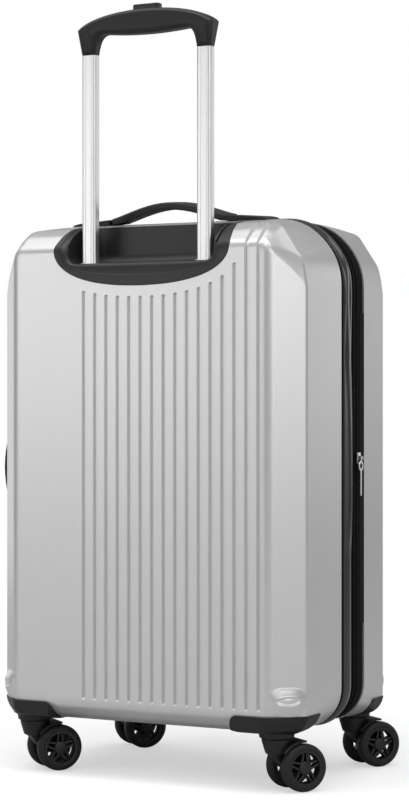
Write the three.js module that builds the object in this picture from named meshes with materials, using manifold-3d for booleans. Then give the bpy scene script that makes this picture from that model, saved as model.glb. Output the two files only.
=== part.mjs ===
// A hard-shell cabin suitcase on four twin-wheel casters, in millimetres.
// +Z is up, +Y points out of the back panel that the trolley handle stands behind,
// and X runs across the case. The origin is under the middle of the whole object.
import * as THREE from "three";
import { ConvexGeometry } from "three/addons/geometries/ConvexGeometry.js";
import { mergeVertices } from "three/addons/utils/BufferGeometryUtils.js";
import Module from "manifold-3d";

// ---------------------------------------------------------------- driving dimensions

const GAP = 0.3; // air between two pieces that touch
const CUT = 2; // how far a cutting solid runs past what it cuts
const OVERLAP = 0.5; // how far two solids that are joined run into each other
const CLEAR = 20; // how far an open outline runs past the case

// Casters.
const WHEEL_RADIUS = 23.6;
const TREAD_RADIUS = 17.2; // inside of the tyre, where the rim begins
const WHEEL_WIDTH = 12;
const TYRE_SHOULDER = 1.8; // chamfer on each edge of the tread
const TWIN_GAP = 19; // between the two wheels of one caster
const AXLE_RADIUS = 2.2;
const HUB_RADIUS = 7;
const HUB_COVER = 1.2; // closed outer end of the rim's bore
const SPOKES = 5;
const SPOKE_ANGLE = THREE.MathUtils.degToRad(27); // half of it lies on each side of a spoke
const RIM_FLANGE = 2.4; // ring that the spokes run into
const RIM_INSET = 0.5; // rim's faces, inside the tyre's
const HUB_COLLAR = 1; // hub to the windows between the spokes
const TRAIL = 21.2; // swivel axis to axle
const HOOD_RADIUS = 15;
const HOOD_TIP_RADIUS = 11;
const HOOD_HEIGHT = 15.4;
const LEG_WIDTH = 16; // leg between the two wheels
const LEG_SETBACK = 2; // leg's root, inside the tip of the hood
const LEG_DROP = 5; // leg's top below the hood's
const LEG_CHIN = 1; // slant of its lowest edge
const FENDER_WIDTH = 36;
const FENDER_THICKNESS = 2;
const FENDER_START = 84; // degrees round the axle from the trailing side
const FENDER_END = 145;
const WHEEL_CLEARANCE = 1; // fork to wheel, all round
const STEM_RADIUS = 4;
const STEM_LENGTH = 13;
const SEAT_RADIUS = 15; // flat pad that the fork turns under
const SEAT_TOP_RADIUS = 20.5; // where the pad widens into its housing
const SEAT_DEPTH = 6;
const SEAT_FLANGE = 4; // pad's root, inside the housing
const STEM_ROOM = 0.5; // above the stem, in its bore
const BOSS_ROOF = 1.5; // over that bore
const SEAT_HEIGHT = 5.1; // top of the wheel to the pad
const CASE_LIFT = 3.5; // pad to the lowest point of the case
const CASTER_INSET_SIDE = 39.5; // swivel axis from the side of the case
const CASTER_INSET_DEPTH = 29.9; // swivel axis from the front or back panel

// Case: two shells with a soft band between them.
const CASE_WIDTH = 358;
const CASE_HEIGHT = 507;
const REAR_SHELL_DEPTH = 95.5;
const FRONT_SHELL_DEPTH = 89;
const PIPING_DEPTH = 5.8;
const SIDE_BAND_DEPTH = 20.1;
const EXPANSION_REAR_TAPE_DEPTH = 9.7;
const EXPANSION_FRONT_TAPE_DEPTH = 5.9;
const MAIN_TAPE_DEPTH = 11;
const SHELL_WALL = 2.5;
const RIM_BOTTOM_RADIUS = 40; // lower corners of the seam, seen from behind
const RIM_FLARE = 3; // the last stretch of each shell opens out by this
const FLARE_DEPTH = 60; // depth at which that stretch begins
const BEVEL_DEPTH = 28.5; // depth of the bevel round the panel
const BEVEL_SIDE_INSET = 6; // outer edge of the bevel, inside the seam
const BEVEL_TOP_INSET = 8;
const BEVEL_BOTTOM_INSET = 0.8;
const BEVEL_BOTTOM_RADIUS = 22; // lower corners at the bevel's outer edge
const FLARE_BOTTOM_RADIUS = 30;
const PANEL_SIDE_INSET = 34; // flat panel, inside the seam
const PANEL_TOP_INSET = 29;
const PANEL_BOTTOM_INSET = 18;
const PANEL_RADIUS = 8;
const CORNER_STEPS = 4;

// The top corners are cut off at a slant, with a soft turn at both ends of the cut. The cut goes
// down the side by the first size and along the top by the second; leads say how early the turns
// into it begin, knee how far its lower end has drawn in, and soft how far the turns run into it.
const PANEL_CORNER = { down: 4, across: 4, leadDown: 4, leadAcross: 4, knee: 0, soft: 0.9 };
const BEVEL_CORNER = { down: 40, across: 30, leadDown: 25, leadAcross: 10, knee: 3, soft: 0.3 };
const FLARE_CORNER = { down: 41, across: 36, leadDown: 26, leadAcross: 19, knee: 1.5, soft: 0.65 };
const SEAM_CORNER = { down: 41, across: 41, leadDown: 27, leadAcross: 28, knee: 0, soft: 0.9 };
const TURN_STEPS = 2;

// Raised pads on the bevels above the casters.
const PAD_LENGTH = 40;
const PAD_HEIGHT = 25;
const PAD_CORNER = 9;
const PAD_TAPER = 7; // how far its edge slopes in
const PAD_RISE = 4.6;
const PAD_ROOT = 1; // pad's foot below the bevel's surface
const PAD_LIFT = 32.5; // pad's middle above the bottom of the case

// Band.
const BAND_THICKNESS = 2.6;
const BAND_BULGE = 2;
const PIPING_INSET = 0.8;
const GUSSET_THICKNESS = 1.4;
const HINGE_STRIP_HEIGHT = 312;
const HINGE_STRIP_LIFT = 100.7; // above the bottom of the case
const HINGE_STRIP_THICKNESS = 1.6;

// Trolley handle.
const TUBE_SPACING = 132.2;
const TUBE_DEPTH = 20; // tube axis, in from the back panel
const TUBE_WALL = 1.2;
const SLIDING_GAP = 0.3;
const INNER_TUBE = { width: 16, depth: 10, length: 432 };
const MID_TUBE_LENGTH = 411;
const OUTER_TUBE_LENGTH = 438;
const TUBE_CORNER = 2;
const HANDLE_RISE = 208.5; // grip's collars above the floor of the recess
const PLUG_LENGTH = 16; // of the grip, inside each tube
const BRACKET_HEIGHT = 15;
const BRACKET_WALL = 3;
const BRACKET_RIM = 1; // bracket in front of the tubes and behind them
const TUBE_TOP_GAP = 1; // outer tube's top, under the recess
const MID_TUBE_PROUD = 1; // middle tube's top, above the recess's floor

// Recess that the grip drops into.
const BEZEL_REACH = { left: 103, right: 98.5 }; // from the middle of the case
const BEZEL_DROP = 68; // bottom of the bezel below the top of the case
const BEZEL_SHOULDER = 29; // its widest point, below the top of the case
const BEZEL_LEAN = 0.28; // how fast its sides draw in above that
const BEZEL_SIDE_PULL = 0.6; // how full the bend is at its sides, and at its floor
const BEZEL_FLOOR_PULL = 0.67;
const BEZEL_PROUD = 0.6;
const BEZEL_WALL = 2.5;
const BEZEL_DEPTH = 48;
const LIP_WIDTH = 19; // lip below the mouth of the recess
const LIP_DEPTH = 3;
const LIP_STEP = 2; // lip to the floor of the recess
const THROAT_HALF_WIDTH = 83.5;
const THROAT_RADIUS = 10; // lower corners of the recess behind the lip
const RECESS_RAMP = 12; // how far the floor rises to the back wall
const RECESS_RAMP_DEPTH = 9;

// Grip.
const GRIP_HEIGHT = 42;
const GRIP_DEPTH = 20;
const COLLAR_DEPTH = 10;
const GRIP_SHOULDER_HEIGHT = 25;
const GRIP_SHOULDER_OVERHANG = 11.4; // beyond the tube's axis
const COLLAR_HALF_WIDTH = 8;
const GRIP_BAR = 22.8; // thickness of the bar at its middle
const GRIP_BEVEL = 3;
const GRIP_CORNER = 15;
const GRIP_THROAT = 2; // how far the underside leans over the collars
const GRIP_CROWN_REACH = 0.7; // how full its top is, as a share of its half length
const GRIP_REST = 3; // collars above the floor of the recess with the handle down
const BUTTON_LENGTH = 30;
const BUTTON_DEPTH = 10;
const BUTTON_CORNER = 3;
const BUTTON_PROUD = 5;
const BUTTON_TRAVEL = 3;
const BUTTON_SEAT = 5.5; // part of the button inside the grip

// Carry handles on the top and on one side.
const CARRY_DEPTH = 75; // handle's middle, in from the back panel
const CARRY_HALF_LENGTH = 68; // to where the bar goes under its end caps
const CARRY_RISE = 21.8;
const CARRY_THICKNESS = 7.8;
const CARRY_WIDTH = 26;
const CARRY_BEVEL = 2.4;
const CARRY_TAB_LENGTH = 14;
const CARRY_TAB_THICKNESS = 1.6;
const CARRY_TAB_WIDTH = 18;
const CARRY_TAB_ROOT = 6; // tab inside the end of the bar
const CARRY_TAB_LIFT = 1; // tab's slot above the wall
const CARRY_FULLNESS = 0.6; // below 1, the arch stays high further out
const CARRY_PLAY = 1;
const FOOT_LENGTH = 44.5;
const FOOT_WIDTH = 30;
const FOOT_HEIGHT = 6.2;
const FOOT_TIP_HEIGHT = 3.4;
const FOOT_TIP_LENGTH = 8;
const FOOT_NOSE_HEIGHT = 2.4;
const FOOT_NOSE_LENGTH = 3;
const FOOT_EDGE_HEIGHT = 1.2;
const CARRY_STEP = 0.6; // bar above its end caps where it goes under them
const SIDE_HANDLE_Z = 255; // above the bottom of the case

// Zip sliders.
const SLIDER = { width: 8, height: 11, rise: 2.2 };
const SLIDER_EAR = { width: 1.2, length: 4.4, rise: 3.4 };
const SLIDER_PIN_RADIUS = 0.7;
const PULL = { length: 36, width: 3.2, thickness: 1.3, ring: 5.2, hole: 2.9 };
const PULL_BARREL_RADIUS = 1.5;
const EXPANSION_SLIDER_Z = 267; // above the bottom of the case
const MAIN_SLIDER_Z = 330;

// Inside.
const LINING_THICKNESS = 1.5;
const LINING_DEPTH = 31; // lining in front of the trolley tubes
const LINING_SIDE_GAP = 19; // lining from the side of the case
const LINING_BOTTOM_GAP = 24;
const LINING_RECESS_GAP = 2;
const LINING_RECESS_MARGIN = 6; // lining past each side of the recess
const LINING_LEDGE_DROP = 12; // ledge below the tops of the outer tubes
const LINING_TOP_GAP = 10;
const STRAP_HEIGHT = 25;
const STRAP_THICKNESS = 1.2;
const STRAP_SETBACK = 8; // strap inside the rear shell's rim
const STRAP_Z = 255;
const BUCKLE = { width: 52, height: 34, thickness: 5 };

// Wheel housings at the bottom corners.
const HOUSING_DEPTH = 56;
const HOUSING_LENGTHS = { left: 80, right: 72 }; // along its top, in from the side of the case
const HOUSING_FOOT_LENGTHS = { left: 76, right: 67.5 }; // along the bottom of the case
const HOUSING_CORNER = 6.5;
const HOUSING_HEIGHT = 19;
const HOUSING_PROUD = 0.9;
const BOSS_RADIUS = 9;

// How each caster stands: the way it trails, in degrees from +X.
const CASTERS = [
  { name: "rear_left", side: -1, end: 1, heading: 234 },
  { name: "rear_right", side: 1, end: 1, heading: 231.5 },
  { name: "front_left", side: -1, end: -1, heading: 234 },
  { name: "front_right", side: 1, end: -1, heading: 230 },
];

// ---------------------------------------------------------------- worked-out sizes

const HALF_WIDTH = CASE_WIDTH / 2;
const SEAT_Z = 2 * WHEEL_RADIUS + SEAT_HEIGHT;
const CASE_BOTTOM = SEAT_Z + CASE_LIFT;
const CASE_TOP = CASE_BOTTOM + CASE_HEIGHT;
const BAND_DEPTH =
  PIPING_DEPTH +
  SIDE_BAND_DEPTH +
  EXPANSION_REAR_TAPE_DEPTH +
  EXPANSION_FRONT_TAPE_DEPTH +
  MAIN_TAPE_DEPTH;
const CASE_DEPTH = REAR_SHELL_DEPTH + BAND_DEPTH + FRONT_SHELL_DEPTH;
const BACK_Y = CASE_DEPTH / 2;
const REAR_RIM_Y = BACK_Y - REAR_SHELL_DEPTH;
const PIPING_Y = REAR_RIM_Y - PIPING_DEPTH;
const SIDE_BAND_Y = PIPING_Y - SIDE_BAND_DEPTH;
const EXPANSION_Y = SIDE_BAND_Y - EXPANSION_REAR_TAPE_DEPTH;
const MAIN_ZIP_Y = EXPANSION_Y - EXPANSION_FRONT_TAPE_DEPTH;
const FRONT_RIM_Y = MAIN_ZIP_Y - MAIN_TAPE_DEPTH;

const TUBE_X = TUBE_SPACING / 2;
const TUBE_Y = BACK_Y - TUBE_DEPTH;
const MID_TUBE = grownTube(INNER_TUBE, MID_TUBE_LENGTH);
const OUTER_TUBE = grownTube(MID_TUBE, OUTER_TUBE_LENGTH);
const BEZEL_BOTTOM = CASE_TOP - BEZEL_DROP;
const RECESS_FLOOR = BEZEL_BOTTOM + LIP_WIDTH + BEZEL_WALL + LIP_STEP;
const GRIP_BOTTOM = RECESS_FLOOR + GRIP_REST + HANDLE_RISE;
const OUTER_TUBE_TOP = RECESS_FLOOR - BEZEL_WALL - TUBE_TOP_GAP;

// The next size of tube up, which slides over the one given.
function grownTube(tube, length) {
  const growth = 2 * (SLIDING_GAP + TUBE_WALL);
  return { width: tube.width + growth, depth: tube.depth + growth, length };
}

// ---------------------------------------------------------------- solids

const wasm = await Module();
wasm.setup();

// A closed three.js geometry as a solid.
function solidOf(geometry) {
  const bare = geometry.clone();
  bare.deleteAttribute("normal");
  bare.deleteAttribute("uv");
  const merged = mergeVertices(bare, 1e-4);
  const mesh = new wasm.Mesh({
    numProp: 3,
    vertProperties: merged.attributes.position.array,
    triVerts: new Uint32Array(merged.index.array),
  });
  return new wasm.Manifold(mesh);
}

// A solid back as a geometry, with flat faces.
function geometryOf(solid) {
  const { vertProperties, triVerts } = solid.getMesh();
  const indexed = new THREE.BufferGeometry();
  indexed.setAttribute("position", new THREE.BufferAttribute(vertProperties, 3));
  indexed.setIndex(new THREE.BufferAttribute(triVerts, 1));
  const flat = indexed.toNonIndexed();
  flat.computeVertexNormals();
  return flat;
}

const joined = (first, ...others) => others.reduce((all, one) => all.add(one), first);
const cut = (first, ...others) => others.reduce((left, one) => left.subtract(one), first);

function box(size, centre) {
  const geometry = new THREE.BoxGeometry(size.x, size.y, size.z);
  return solidOf(geometry.translate(centre.x, centre.y, centre.z));
}

// A box from its limits along X, Y and Z.
function block([x0, x1], [y0, y1], [z0, z1]) {
  const size = { x: x1 - x0, y: y1 - y0, z: z1 - z0 };
  return box(size, { x: (x0 + x1) / 2, y: (y0 + y1) / 2, z: (z0 + z1) / 2 });
}

// An outline drawn in the X-Z plane, carried along Y.
function prismAlongY(shape, y0, y1, options = {}) {
  const settings = { depth: y1 - y0, bevelEnabled: false, curveSegments: 8, ...options };
  const geometry = new THREE.ExtrudeGeometry(shape, settings);
  return solidOf(geometry.rotateX(Math.PI / 2).translate(0, y1, 0));
}

// An outline drawn in the Y-Z plane, carried along X.
function prismAlongX(shape, x0, x1) {
  const geometry = new THREE.ExtrudeGeometry(shape, { depth: x1 - x0, bevelEnabled: false });
  const turn = new THREE.Matrix4().makeBasis(
    new THREE.Vector3(0, 1, 0),
    new THREE.Vector3(0, 0, 1),
    new THREE.Vector3(1, 0, 0),
  );
  return solidOf(geometry.applyMatrix4(turn).translate(x0, 0, 0));
}

// An outline drawn in the X-Y plane, carried up Z.
function prismAlongZ(shape, z0, z1) {
  const settings = { depth: z1 - z0, bevelEnabled: false, curveSegments: 3 };
  return solidOf(new THREE.ExtrudeGeometry(shape, settings).translate(0, 0, z0));
}

// A round bar along Z, narrower at the bottom where a second radius is given.
function uprightBar(radius, z0, z1, { x = 0, y = 0, sides = 20, foot = radius } = {}) {
  const geometry = new THREE.CylinderGeometry(radius, foot, z1 - z0, sides);
  return solidOf(geometry.rotateX(Math.PI / 2).translate(x, y, (z0 + z1) / 2));
}

// A round bar along Y.
function crossBar(radius, y0, y1, { x = 0, z = 0, sides = 20 } = {}) {
  const geometry = new THREE.CylinderGeometry(radius, radius, y1 - y0, sides);
  return solidOf(geometry.translate(x, (y0 + y1) / 2, z));
}

const polygon = (points) => new THREE.Shape(points.map(([x, y]) => new THREE.Vector2(x, y)));

function roundedRectangle(width, depth, radius) {
  const [x, y] = [width / 2 - radius, depth / 2 - radius];
  const shape = new THREE.Shape();
  shape.absarc(x, y, radius, 0, Math.PI / 2);
  shape.absarc(-x, y, radius, Math.PI / 2, Math.PI);
  shape.absarc(-x, -y, radius, Math.PI, 1.5 * Math.PI);
  shape.absarc(x, -y, radius, 1.5 * Math.PI, 2 * Math.PI);
  return shape;
}

// ---------------------------------------------------------------- outlines of the case

const SEAM = {
  side: 0,
  top: 0,
  bottom: 0,
  corner: SEAM_CORNER,
  bottomRadius: RIM_BOTTOM_RADIUS,
};

// One top corner on the +X side, from the side up to the top, as points. Inset moves a cut at
// 45 degrees in as far as the walls beside it.
function topCorner(corner, half, top, inset) {
  const shrink = inset * (2 - Math.SQRT2);
  const onSide = new THREE.Vector2(half - corner.knee, top - corner.down + shrink);
  const onTop = new THREE.Vector2(half - corner.across + shrink, top);
  const soft = onTop.clone().sub(onSide).multiplyScalar(corner.soft / 2);
  const begin = new THREE.Vector2(half, onSide.y - corner.leadDown);
  const end = new THREE.Vector2(onTop.x - corner.leadAcross, top);
  const turns = [
    new THREE.QuadraticBezierCurve(begin, onSide, onSide.clone().add(soft)),
    new THREE.QuadraticBezierCurve(onTop.clone().sub(soft), onTop, end),
  ];
  return turns.flatMap((turn) => turn.getPoints(TURN_STEPS)).map(({ x, y }) => [x, y]);
}

// The case's outline, seen from behind, as [x, z] points. A ring says how far its side, top
// and bottom lie inside the seam; inset shrinks all of it evenly.
function caseOutline(ring, inset = 0) {
  const half = HALF_WIDTH - ring.side - inset;
  const top = CASE_TOP - ring.top - inset;
  const bottom = CASE_BOTTOM + ring.bottom + inset;
  const radius = Math.max(ring.bottomRadius - inset, 1);
  const foot = Array.from({ length: CORNER_STEPS + 1 }, (_, step) => {
    const angle = (Math.PI / 2) * (step / CORNER_STEPS - 1);
    return [half - radius + radius * Math.cos(angle), bottom + radius + radius * Math.sin(angle)];
  });
  const right = [...foot, ...topCorner(ring.corner, half, top, inset)];
  return [...right, ...right.map(([x, z]) => [-x, z]).reverse()];
}

// The rings that one shell's surface passes through, from its panel to its rim.
function shellRings(shellDepth) {
  return [
    {
      depth: 0,
      side: PANEL_SIDE_INSET,
      top: PANEL_TOP_INSET,
      bottom: PANEL_BOTTOM_INSET,
      corner: PANEL_CORNER,
      bottomRadius: PANEL_RADIUS,
    },
    {
      depth: BEVEL_DEPTH,
      side: BEVEL_SIDE_INSET,
      top: BEVEL_TOP_INSET,
      bottom: BEVEL_BOTTOM_INSET,
      corner: BEVEL_CORNER,
      bottomRadius: BEVEL_BOTTOM_RADIUS,
    },
    {
      depth: FLARE_DEPTH,
      side: RIM_FLARE,
      top: RIM_FLARE,
      bottom: BEVEL_BOTTOM_INSET / 2,
      corner: FLARE_CORNER,
      bottomRadius: FLARE_BOTTOM_RADIUS,
    },
    { ...SEAM, depth: shellDepth },
  ];
}

// The full block that a shell's outside encloses; end is 1 for the rear shell and -1 for
// the front one. A positive inset gives the hollow, a negative one a skin over the shell.
function shellBlock(shellDepth, end, inset, overrun = 0) {
  const rings = shellRings(shellDepth);
  const panelShare = Math.tan(Math.PI / 8); // a bevel at 45 degrees moves this much sideways
  const points = rings.flatMap((ring, index) => {
    const sideways = index === 0 ? inset * panelShare : inset;
    const depth = ring.depth + (index === 0 ? inset : 0);
    const runOn = index === rings.length - 1 ? overrun : 0;
    const y = end * (BACK_Y - depth - runOn);
    return caseOutline(ring, sideways).map(([x, z]) => new THREE.Vector3(x, y, z));
  });
  return solidOf(new ConvexGeometry(points));
}

// A band round the case: a closed profile of [y, inset] points swept along the seam's
// outline.
function bandRound(profile) {
  const loops = profile.map(([y, inset]) => caseOutline(SEAM, inset).map(([x, z]) => [x, y, z]));
  const around = loops[0].length;
  const positions = new Float32Array(loops.flat(2));
  const indices = [];
  for (let p = 0; p < loops.length; p += 1) {
    const next = ((p + 1) % loops.length) * around;
    for (let i = 0; i < around; i += 1) {
      const j = (i + 1) % around;
      indices.push(p * around + i, next + i, p * around + j);
      indices.push(p * around + j, next + i, next + j);
    }
  }
  const geometry = new THREE.BufferGeometry();
  geometry.setAttribute("position", new THREE.BufferAttribute(positions, 3));
  geometry.setIndex(indices);
  return solidOf(geometry);
}

// A flat band from one Y to a lower one, with the gap left at each edge.
function flatBand(fromY, toY, inset, thickness, bulge = 0) {
  const [rear, front] = [fromY - GAP / 2, toY + GAP / 2];
  const crown = (rear - front) / 4;
  return bandRound([
    [rear, inset],
    [rear, inset + thickness],
    [front, inset + thickness],
    [front, inset],
    [front + crown, inset - bulge],
    [rear - crown, inset - bulge],
  ]);
}

// ---------------------------------------------------------------- the scene

function material(color, roughness, metalness = 0) {
  return new THREE.MeshStandardMaterial({ color, roughness, metalness });
}
const silverShell = () => material(0xc9cacb, 0.38, 0.35);
const blackPlastic = () => material(0x1f1f21, 0.45);
const blackFabric = () => material(0x141416, 0.85);
const softBlack = () => material(0x222224, 0.6);
const aluminium = () => material(0xd4d5d7, 0.3, 0.9);
const bluntSteel = () => material(0xb8babd, 0.35, 0.9);
const tyreBlack = () => material(0x232324, 0.7);
const liningGrey = () => material(0x3a3c40, 0.9);

const suitcase = new THREE.Group();
const caseGroup = new THREE.Group();
suitcase.add(caseGroup);

// Adds a solid to a group as a named mesh.
function addPiece(group, name, solid, look) {
  const mesh = new THREE.Mesh(geometryOf(solid), look);
  mesh.name = name;
  group.add(mesh);
  return mesh;
}

function groupAt(parent, x, y, z) {
  const group = new THREE.Group();
  group.position.set(x, y, z);
  parent.add(group);
  return group;
}

// ---------------------------------------------------------------- recess for the grip

// A U-shaped outline, open at the top, as a convex shape, from its reach to -X and to +X.
function uOutline(left, right, floor) {
  const above = CASE_TOP + CLEAR;
  const shoulder = CASE_TOP - BEZEL_SHOULDER;
  const lean = BEZEL_LEAN * (above - shoulder);
  const tuck = (shoulder - floor) * BEZEL_SIDE_PULL;
  const shape = new THREE.Shape();
  shape.moveTo(right - lean, above);
  shape.lineTo(lean - left, above);
  shape.lineTo(-left, shoulder);
  shape.bezierCurveTo(-left, shoulder - tuck, -BEZEL_FLOOR_PULL * left, floor, 0, floor);
  shape.bezierCurveTo(BEZEL_FLOOR_PULL * right, floor, right, shoulder - tuck, right, shoulder);
  return shape;
}

const bezelOutline = (inset) =>
  uOutline(BEZEL_REACH.left - inset, BEZEL_REACH.right - inset, BEZEL_BOTTOM + inset);

// The recess behind the lip, wide enough for the whole grip, as a convex shape.
function throatOutline(grow, floor) {
  const height = CASE_TOP + CLEAR - floor;
  const shape = roundedRectangle(2 * (THROAT_HALF_WIDTH + grow), height, THROAT_RADIUS);
  const middle = floor + height / 2;
  return new THREE.Shape(shape.getPoints(3).map(({ x, y }) => new THREE.Vector2(x, y + middle)));
}

// The convex block between two such outlines at two depths.
function between(nearOutline, nearDepth, farOutline, farDepth) {
  const points = [
    [nearOutline, nearDepth],
    [farOutline, farDepth],
  ].flatMap(([outline, depth]) =>
    outline.getPoints(8).map(({ x, y }) => new THREE.Vector3(x, BACK_Y - depth, y)),
  );
  return solidOf(new ConvexGeometry(points));
}

// The hollow of the recess, grown outwards to make its walls.
function recess(grow = 0) {
  const mouth = bezelOutline(BEZEL_WALL - grow);
  const lipReach = THROAT_HALF_WIDTH + grow;
  const lip = uOutline(lipReach, lipReach, RECESS_FLOOR - grow);
  const throat = throatOutline(grow, RECESS_FLOOR - grow);
  const rampTop = throatOutline(grow, RECESS_FLOOR + RECESS_RAMP - grow);
  const backWall = BEZEL_DEPTH - BEZEL_WALL + grow;
  const rampStart = BEZEL_DEPTH - BEZEL_WALL - RECESS_RAMP_DEPTH;
  return joined(
    between(mouth, -CUT, lip, LIP_DEPTH + OVERLAP),
    between(throat, LIP_DEPTH - grow, throat, rampStart + OVERLAP),
    between(throat, rampStart, rampTop, backWall),
  );
}

function tubeHoles(tube, clearance, z0, z1) {
  const hole = roundedRectangle(tube.width + 2 * clearance, tube.depth + 2 * clearance, TUBE_CORNER);
  const one = prismAlongZ(hole, z0, z1);
  return joined(one.translate([-TUBE_X, TUBE_Y, 0]), one.translate([TUBE_X, TUBE_Y, 0]));
}

function handleBezel() {
  const outer = shellBlock(REAR_SHELL_DEPTH, 1, -BEZEL_PROUD);
  const skin = cut(outer, shellBlock(REAR_SHELL_DEPTH, 1, BEZEL_WALL, CUT));
  const outline = prismAlongY(bezelOutline(0), BACK_Y - BEZEL_DEPTH, BACK_Y + CUT);
  const body = joined(skin, recess(BEZEL_WALL).intersect(outer)).intersect(outline);
  const holes = tubeHoles(MID_TUBE, SLIDING_GAP, BEZEL_BOTTOM, CASE_TOP);
  return cut(body, recess(), holes);
}

// ---------------------------------------------------------------- shells

// The block that one wheel housing fills, for the side and end given.
function housingRegion(side, end, grow) {
  const which = side < 0 ? "left" : "right";
  const inner = HALF_WIDTH - HOUSING_LENGTHS[which] - grow;
  const foot = HALF_WIDTH - HOUSING_FOOT_LENGTHS[which] - grow;
  const outer = HALF_WIDTH + CLEAR;
  const low = CASE_BOTTOM - CUT;
  const high = CASE_BOTTOM + HOUSING_HEIGHT + grow;
  const corners = [
    [foot, low],
    [outer, low],
    [outer, high],
    [inner + HOUSING_CORNER, high],
    [inner, high - HOUSING_CORNER],
  ];
  const points = corners.flatMap(([x, z]) =>
    [BACK_Y - HOUSING_DEPTH - grow, BACK_Y + CLEAR].map(
      (y) => new THREE.Vector3(side * x, end * y, z),
    ),
  );
  return solidOf(new ConvexGeometry(points));
}

// A low pad on the bevel above a caster.
function bevelPad(side, end) {
  const foot = roundedRectangle(PAD_LENGTH, PAD_HEIGHT, PAD_CORNER);
  const crest = roundedRectangle(
    PAD_LENGTH - 2 * PAD_TAPER,
    PAD_HEIGHT - 2 * PAD_TAPER,
    PAD_CORNER - PAD_TAPER,
  );
  const points = [
    [foot, -PAD_ROOT],
    [crest, PAD_RISE],
  ].flatMap(([outline, rise]) =>
    outline.getPoints(3).map(({ x, y }) => new THREE.Vector3(x, end * rise, y)),
  );
  const pad = new ConvexGeometry(points).rotateZ((-side * end * Math.PI) / 4);
  const reach = (PANEL_SIDE_INSET + BEVEL_SIDE_INSET) / 2;
  return solidOf(
    pad.translate(
      side * (HALF_WIDTH - reach),
      end * (BACK_Y - BEVEL_DEPTH / 2),
      CASE_BOTTOM + PAD_LIFT,
    ),
  );
}

function shell(shellDepth, end) {
  const outer = joined(shellBlock(shellDepth, end, 0), bevelPad(-1, end), bevelPad(1, end));
  const hollow = shellBlock(shellDepth, end, SHELL_WALL, CUT);
  return cut(outer, hollow, housingRegion(-1, end, GAP), housingRegion(1, end, GAP));
}

function rearShell() {
  const opening = prismAlongY(
    bezelOutline(-GAP),
    BACK_Y - BEZEL_DEPTH - GAP,
    BACK_Y + CUT,
  );
  return cut(shell(REAR_SHELL_DEPTH, 1), opening);
}

function wheelHousing(side, end) {
  const shellDepth = end > 0 ? REAR_SHELL_DEPTH : FRONT_SHELL_DEPTH;
  const x = side * (HALF_WIDTH - CASTER_INSET_SIDE);
  const y = end * (BACK_Y - CASTER_INSET_DEPTH);
  const seatTop = SEAT_Z + SEAT_DEPTH;
  const boreTop = SEAT_Z + STEM_LENGTH + STEM_ROOM;
  const skin = cut(
    shellBlock(shellDepth, end, -HOUSING_PROUD),
    shellBlock(shellDepth, end, SHELL_WALL, CUT),
  ).intersect(housingRegion(side, end, 0));
  const seat = uprightBar(SEAT_TOP_RADIUS, SEAT_Z, seatTop, { x, y, foot: SEAT_RADIUS });
  const mount = uprightBar(SEAT_TOP_RADIUS, seatTop, seatTop + SEAT_FLANGE, { x, y });
  const boss = uprightBar(BOSS_RADIUS, SEAT_Z + OVERLAP, boreTop + BOSS_ROOF, { x, y, sides: 12 });
  const bore = uprightBar(STEM_RADIUS + GAP, SEAT_Z - CUT, boreTop, { x, y, sides: 12 });
  return cut(joined(skin, seat, mount, boss), bore);
}

addPiece(caseGroup, "rear_shell", rearShell(), silverShell());
addPiece(caseGroup, "front_shell", shell(FRONT_SHELL_DEPTH, -1), silverShell());
addPiece(caseGroup, "handle_bezel", handleBezel(), blackPlastic());
CASTERS.forEach(({ name, side, end }) => {
  addPiece(caseGroup, `wheel_housing_${name}`, wheelHousing(side, end), blackPlastic());
});

// ---------------------------------------------------------------- the soft band

// The gap in the main zip's tape that the hinge strip fills, on the -X side.
function hingeGap(grow) {
  const z0 = CASE_BOTTOM + HINGE_STRIP_LIFT - grow;
  return block(
    [-HALF_WIDTH - CUT, -HALF_WIDTH + 2 * BAND_THICKNESS],
    [FRONT_RIM_Y - CUT, MAIN_ZIP_Y + CUT],
    [z0, z0 + HINGE_STRIP_HEIGHT + 2 * grow],
  );
}

function hingeStrip() {
  const z0 = CASE_BOTTOM + HINGE_STRIP_LIFT;
  return block(
    [-HALF_WIDTH, -HALF_WIDTH + HINGE_STRIP_THICKNESS],
    [FRONT_RIM_Y + GAP / 2, MAIN_ZIP_Y - GAP / 2],
    [z0, z0 + HINGE_STRIP_HEIGHT],
  );
}

const mainTape = cut(flatBand(MAIN_ZIP_Y, FRONT_RIM_Y, 0, BAND_THICKNESS), hingeGap(GAP));
const bands = {
  rear_piping: flatBand(REAR_RIM_Y, PIPING_Y, PIPING_INSET, BAND_THICKNESS - PIPING_INSET),
  side_band: flatBand(PIPING_Y, SIDE_BAND_Y, 0, BAND_THICKNESS, BAND_BULGE),
  expansion_zip_rear: flatBand(SIDE_BAND_Y, EXPANSION_Y, 0, BAND_THICKNESS),
  expansion_zip_front: flatBand(EXPANSION_Y, MAIN_ZIP_Y, 0, BAND_THICKNESS),
  expansion_gusset: flatBand(SIDE_BAND_Y, MAIN_ZIP_Y, BAND_THICKNESS + GAP, GUSSET_THICKNESS),
  main_zip_tape: mainTape,
  hinge_strip: hingeStrip(),
};
for (const [name, solid] of Object.entries(bands)) {
  addPiece(caseGroup, name, solid, blackFabric());
}

// ---------------------------------------------------------------- trolley handle

function tube({ width, depth }, z0, z1) {
  const outline = roundedRectangle(width, depth, TUBE_CORNER);
  const hollow = roundedRectangle(
    width - 2 * TUBE_WALL,
    depth - 2 * TUBE_WALL,
    TUBE_CORNER - TUBE_WALL / 2,
  );
  return cut(prismAlongZ(outline, z0, z1), prismAlongZ(hollow, z0 - CUT, z1 + CUT));
}

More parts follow.
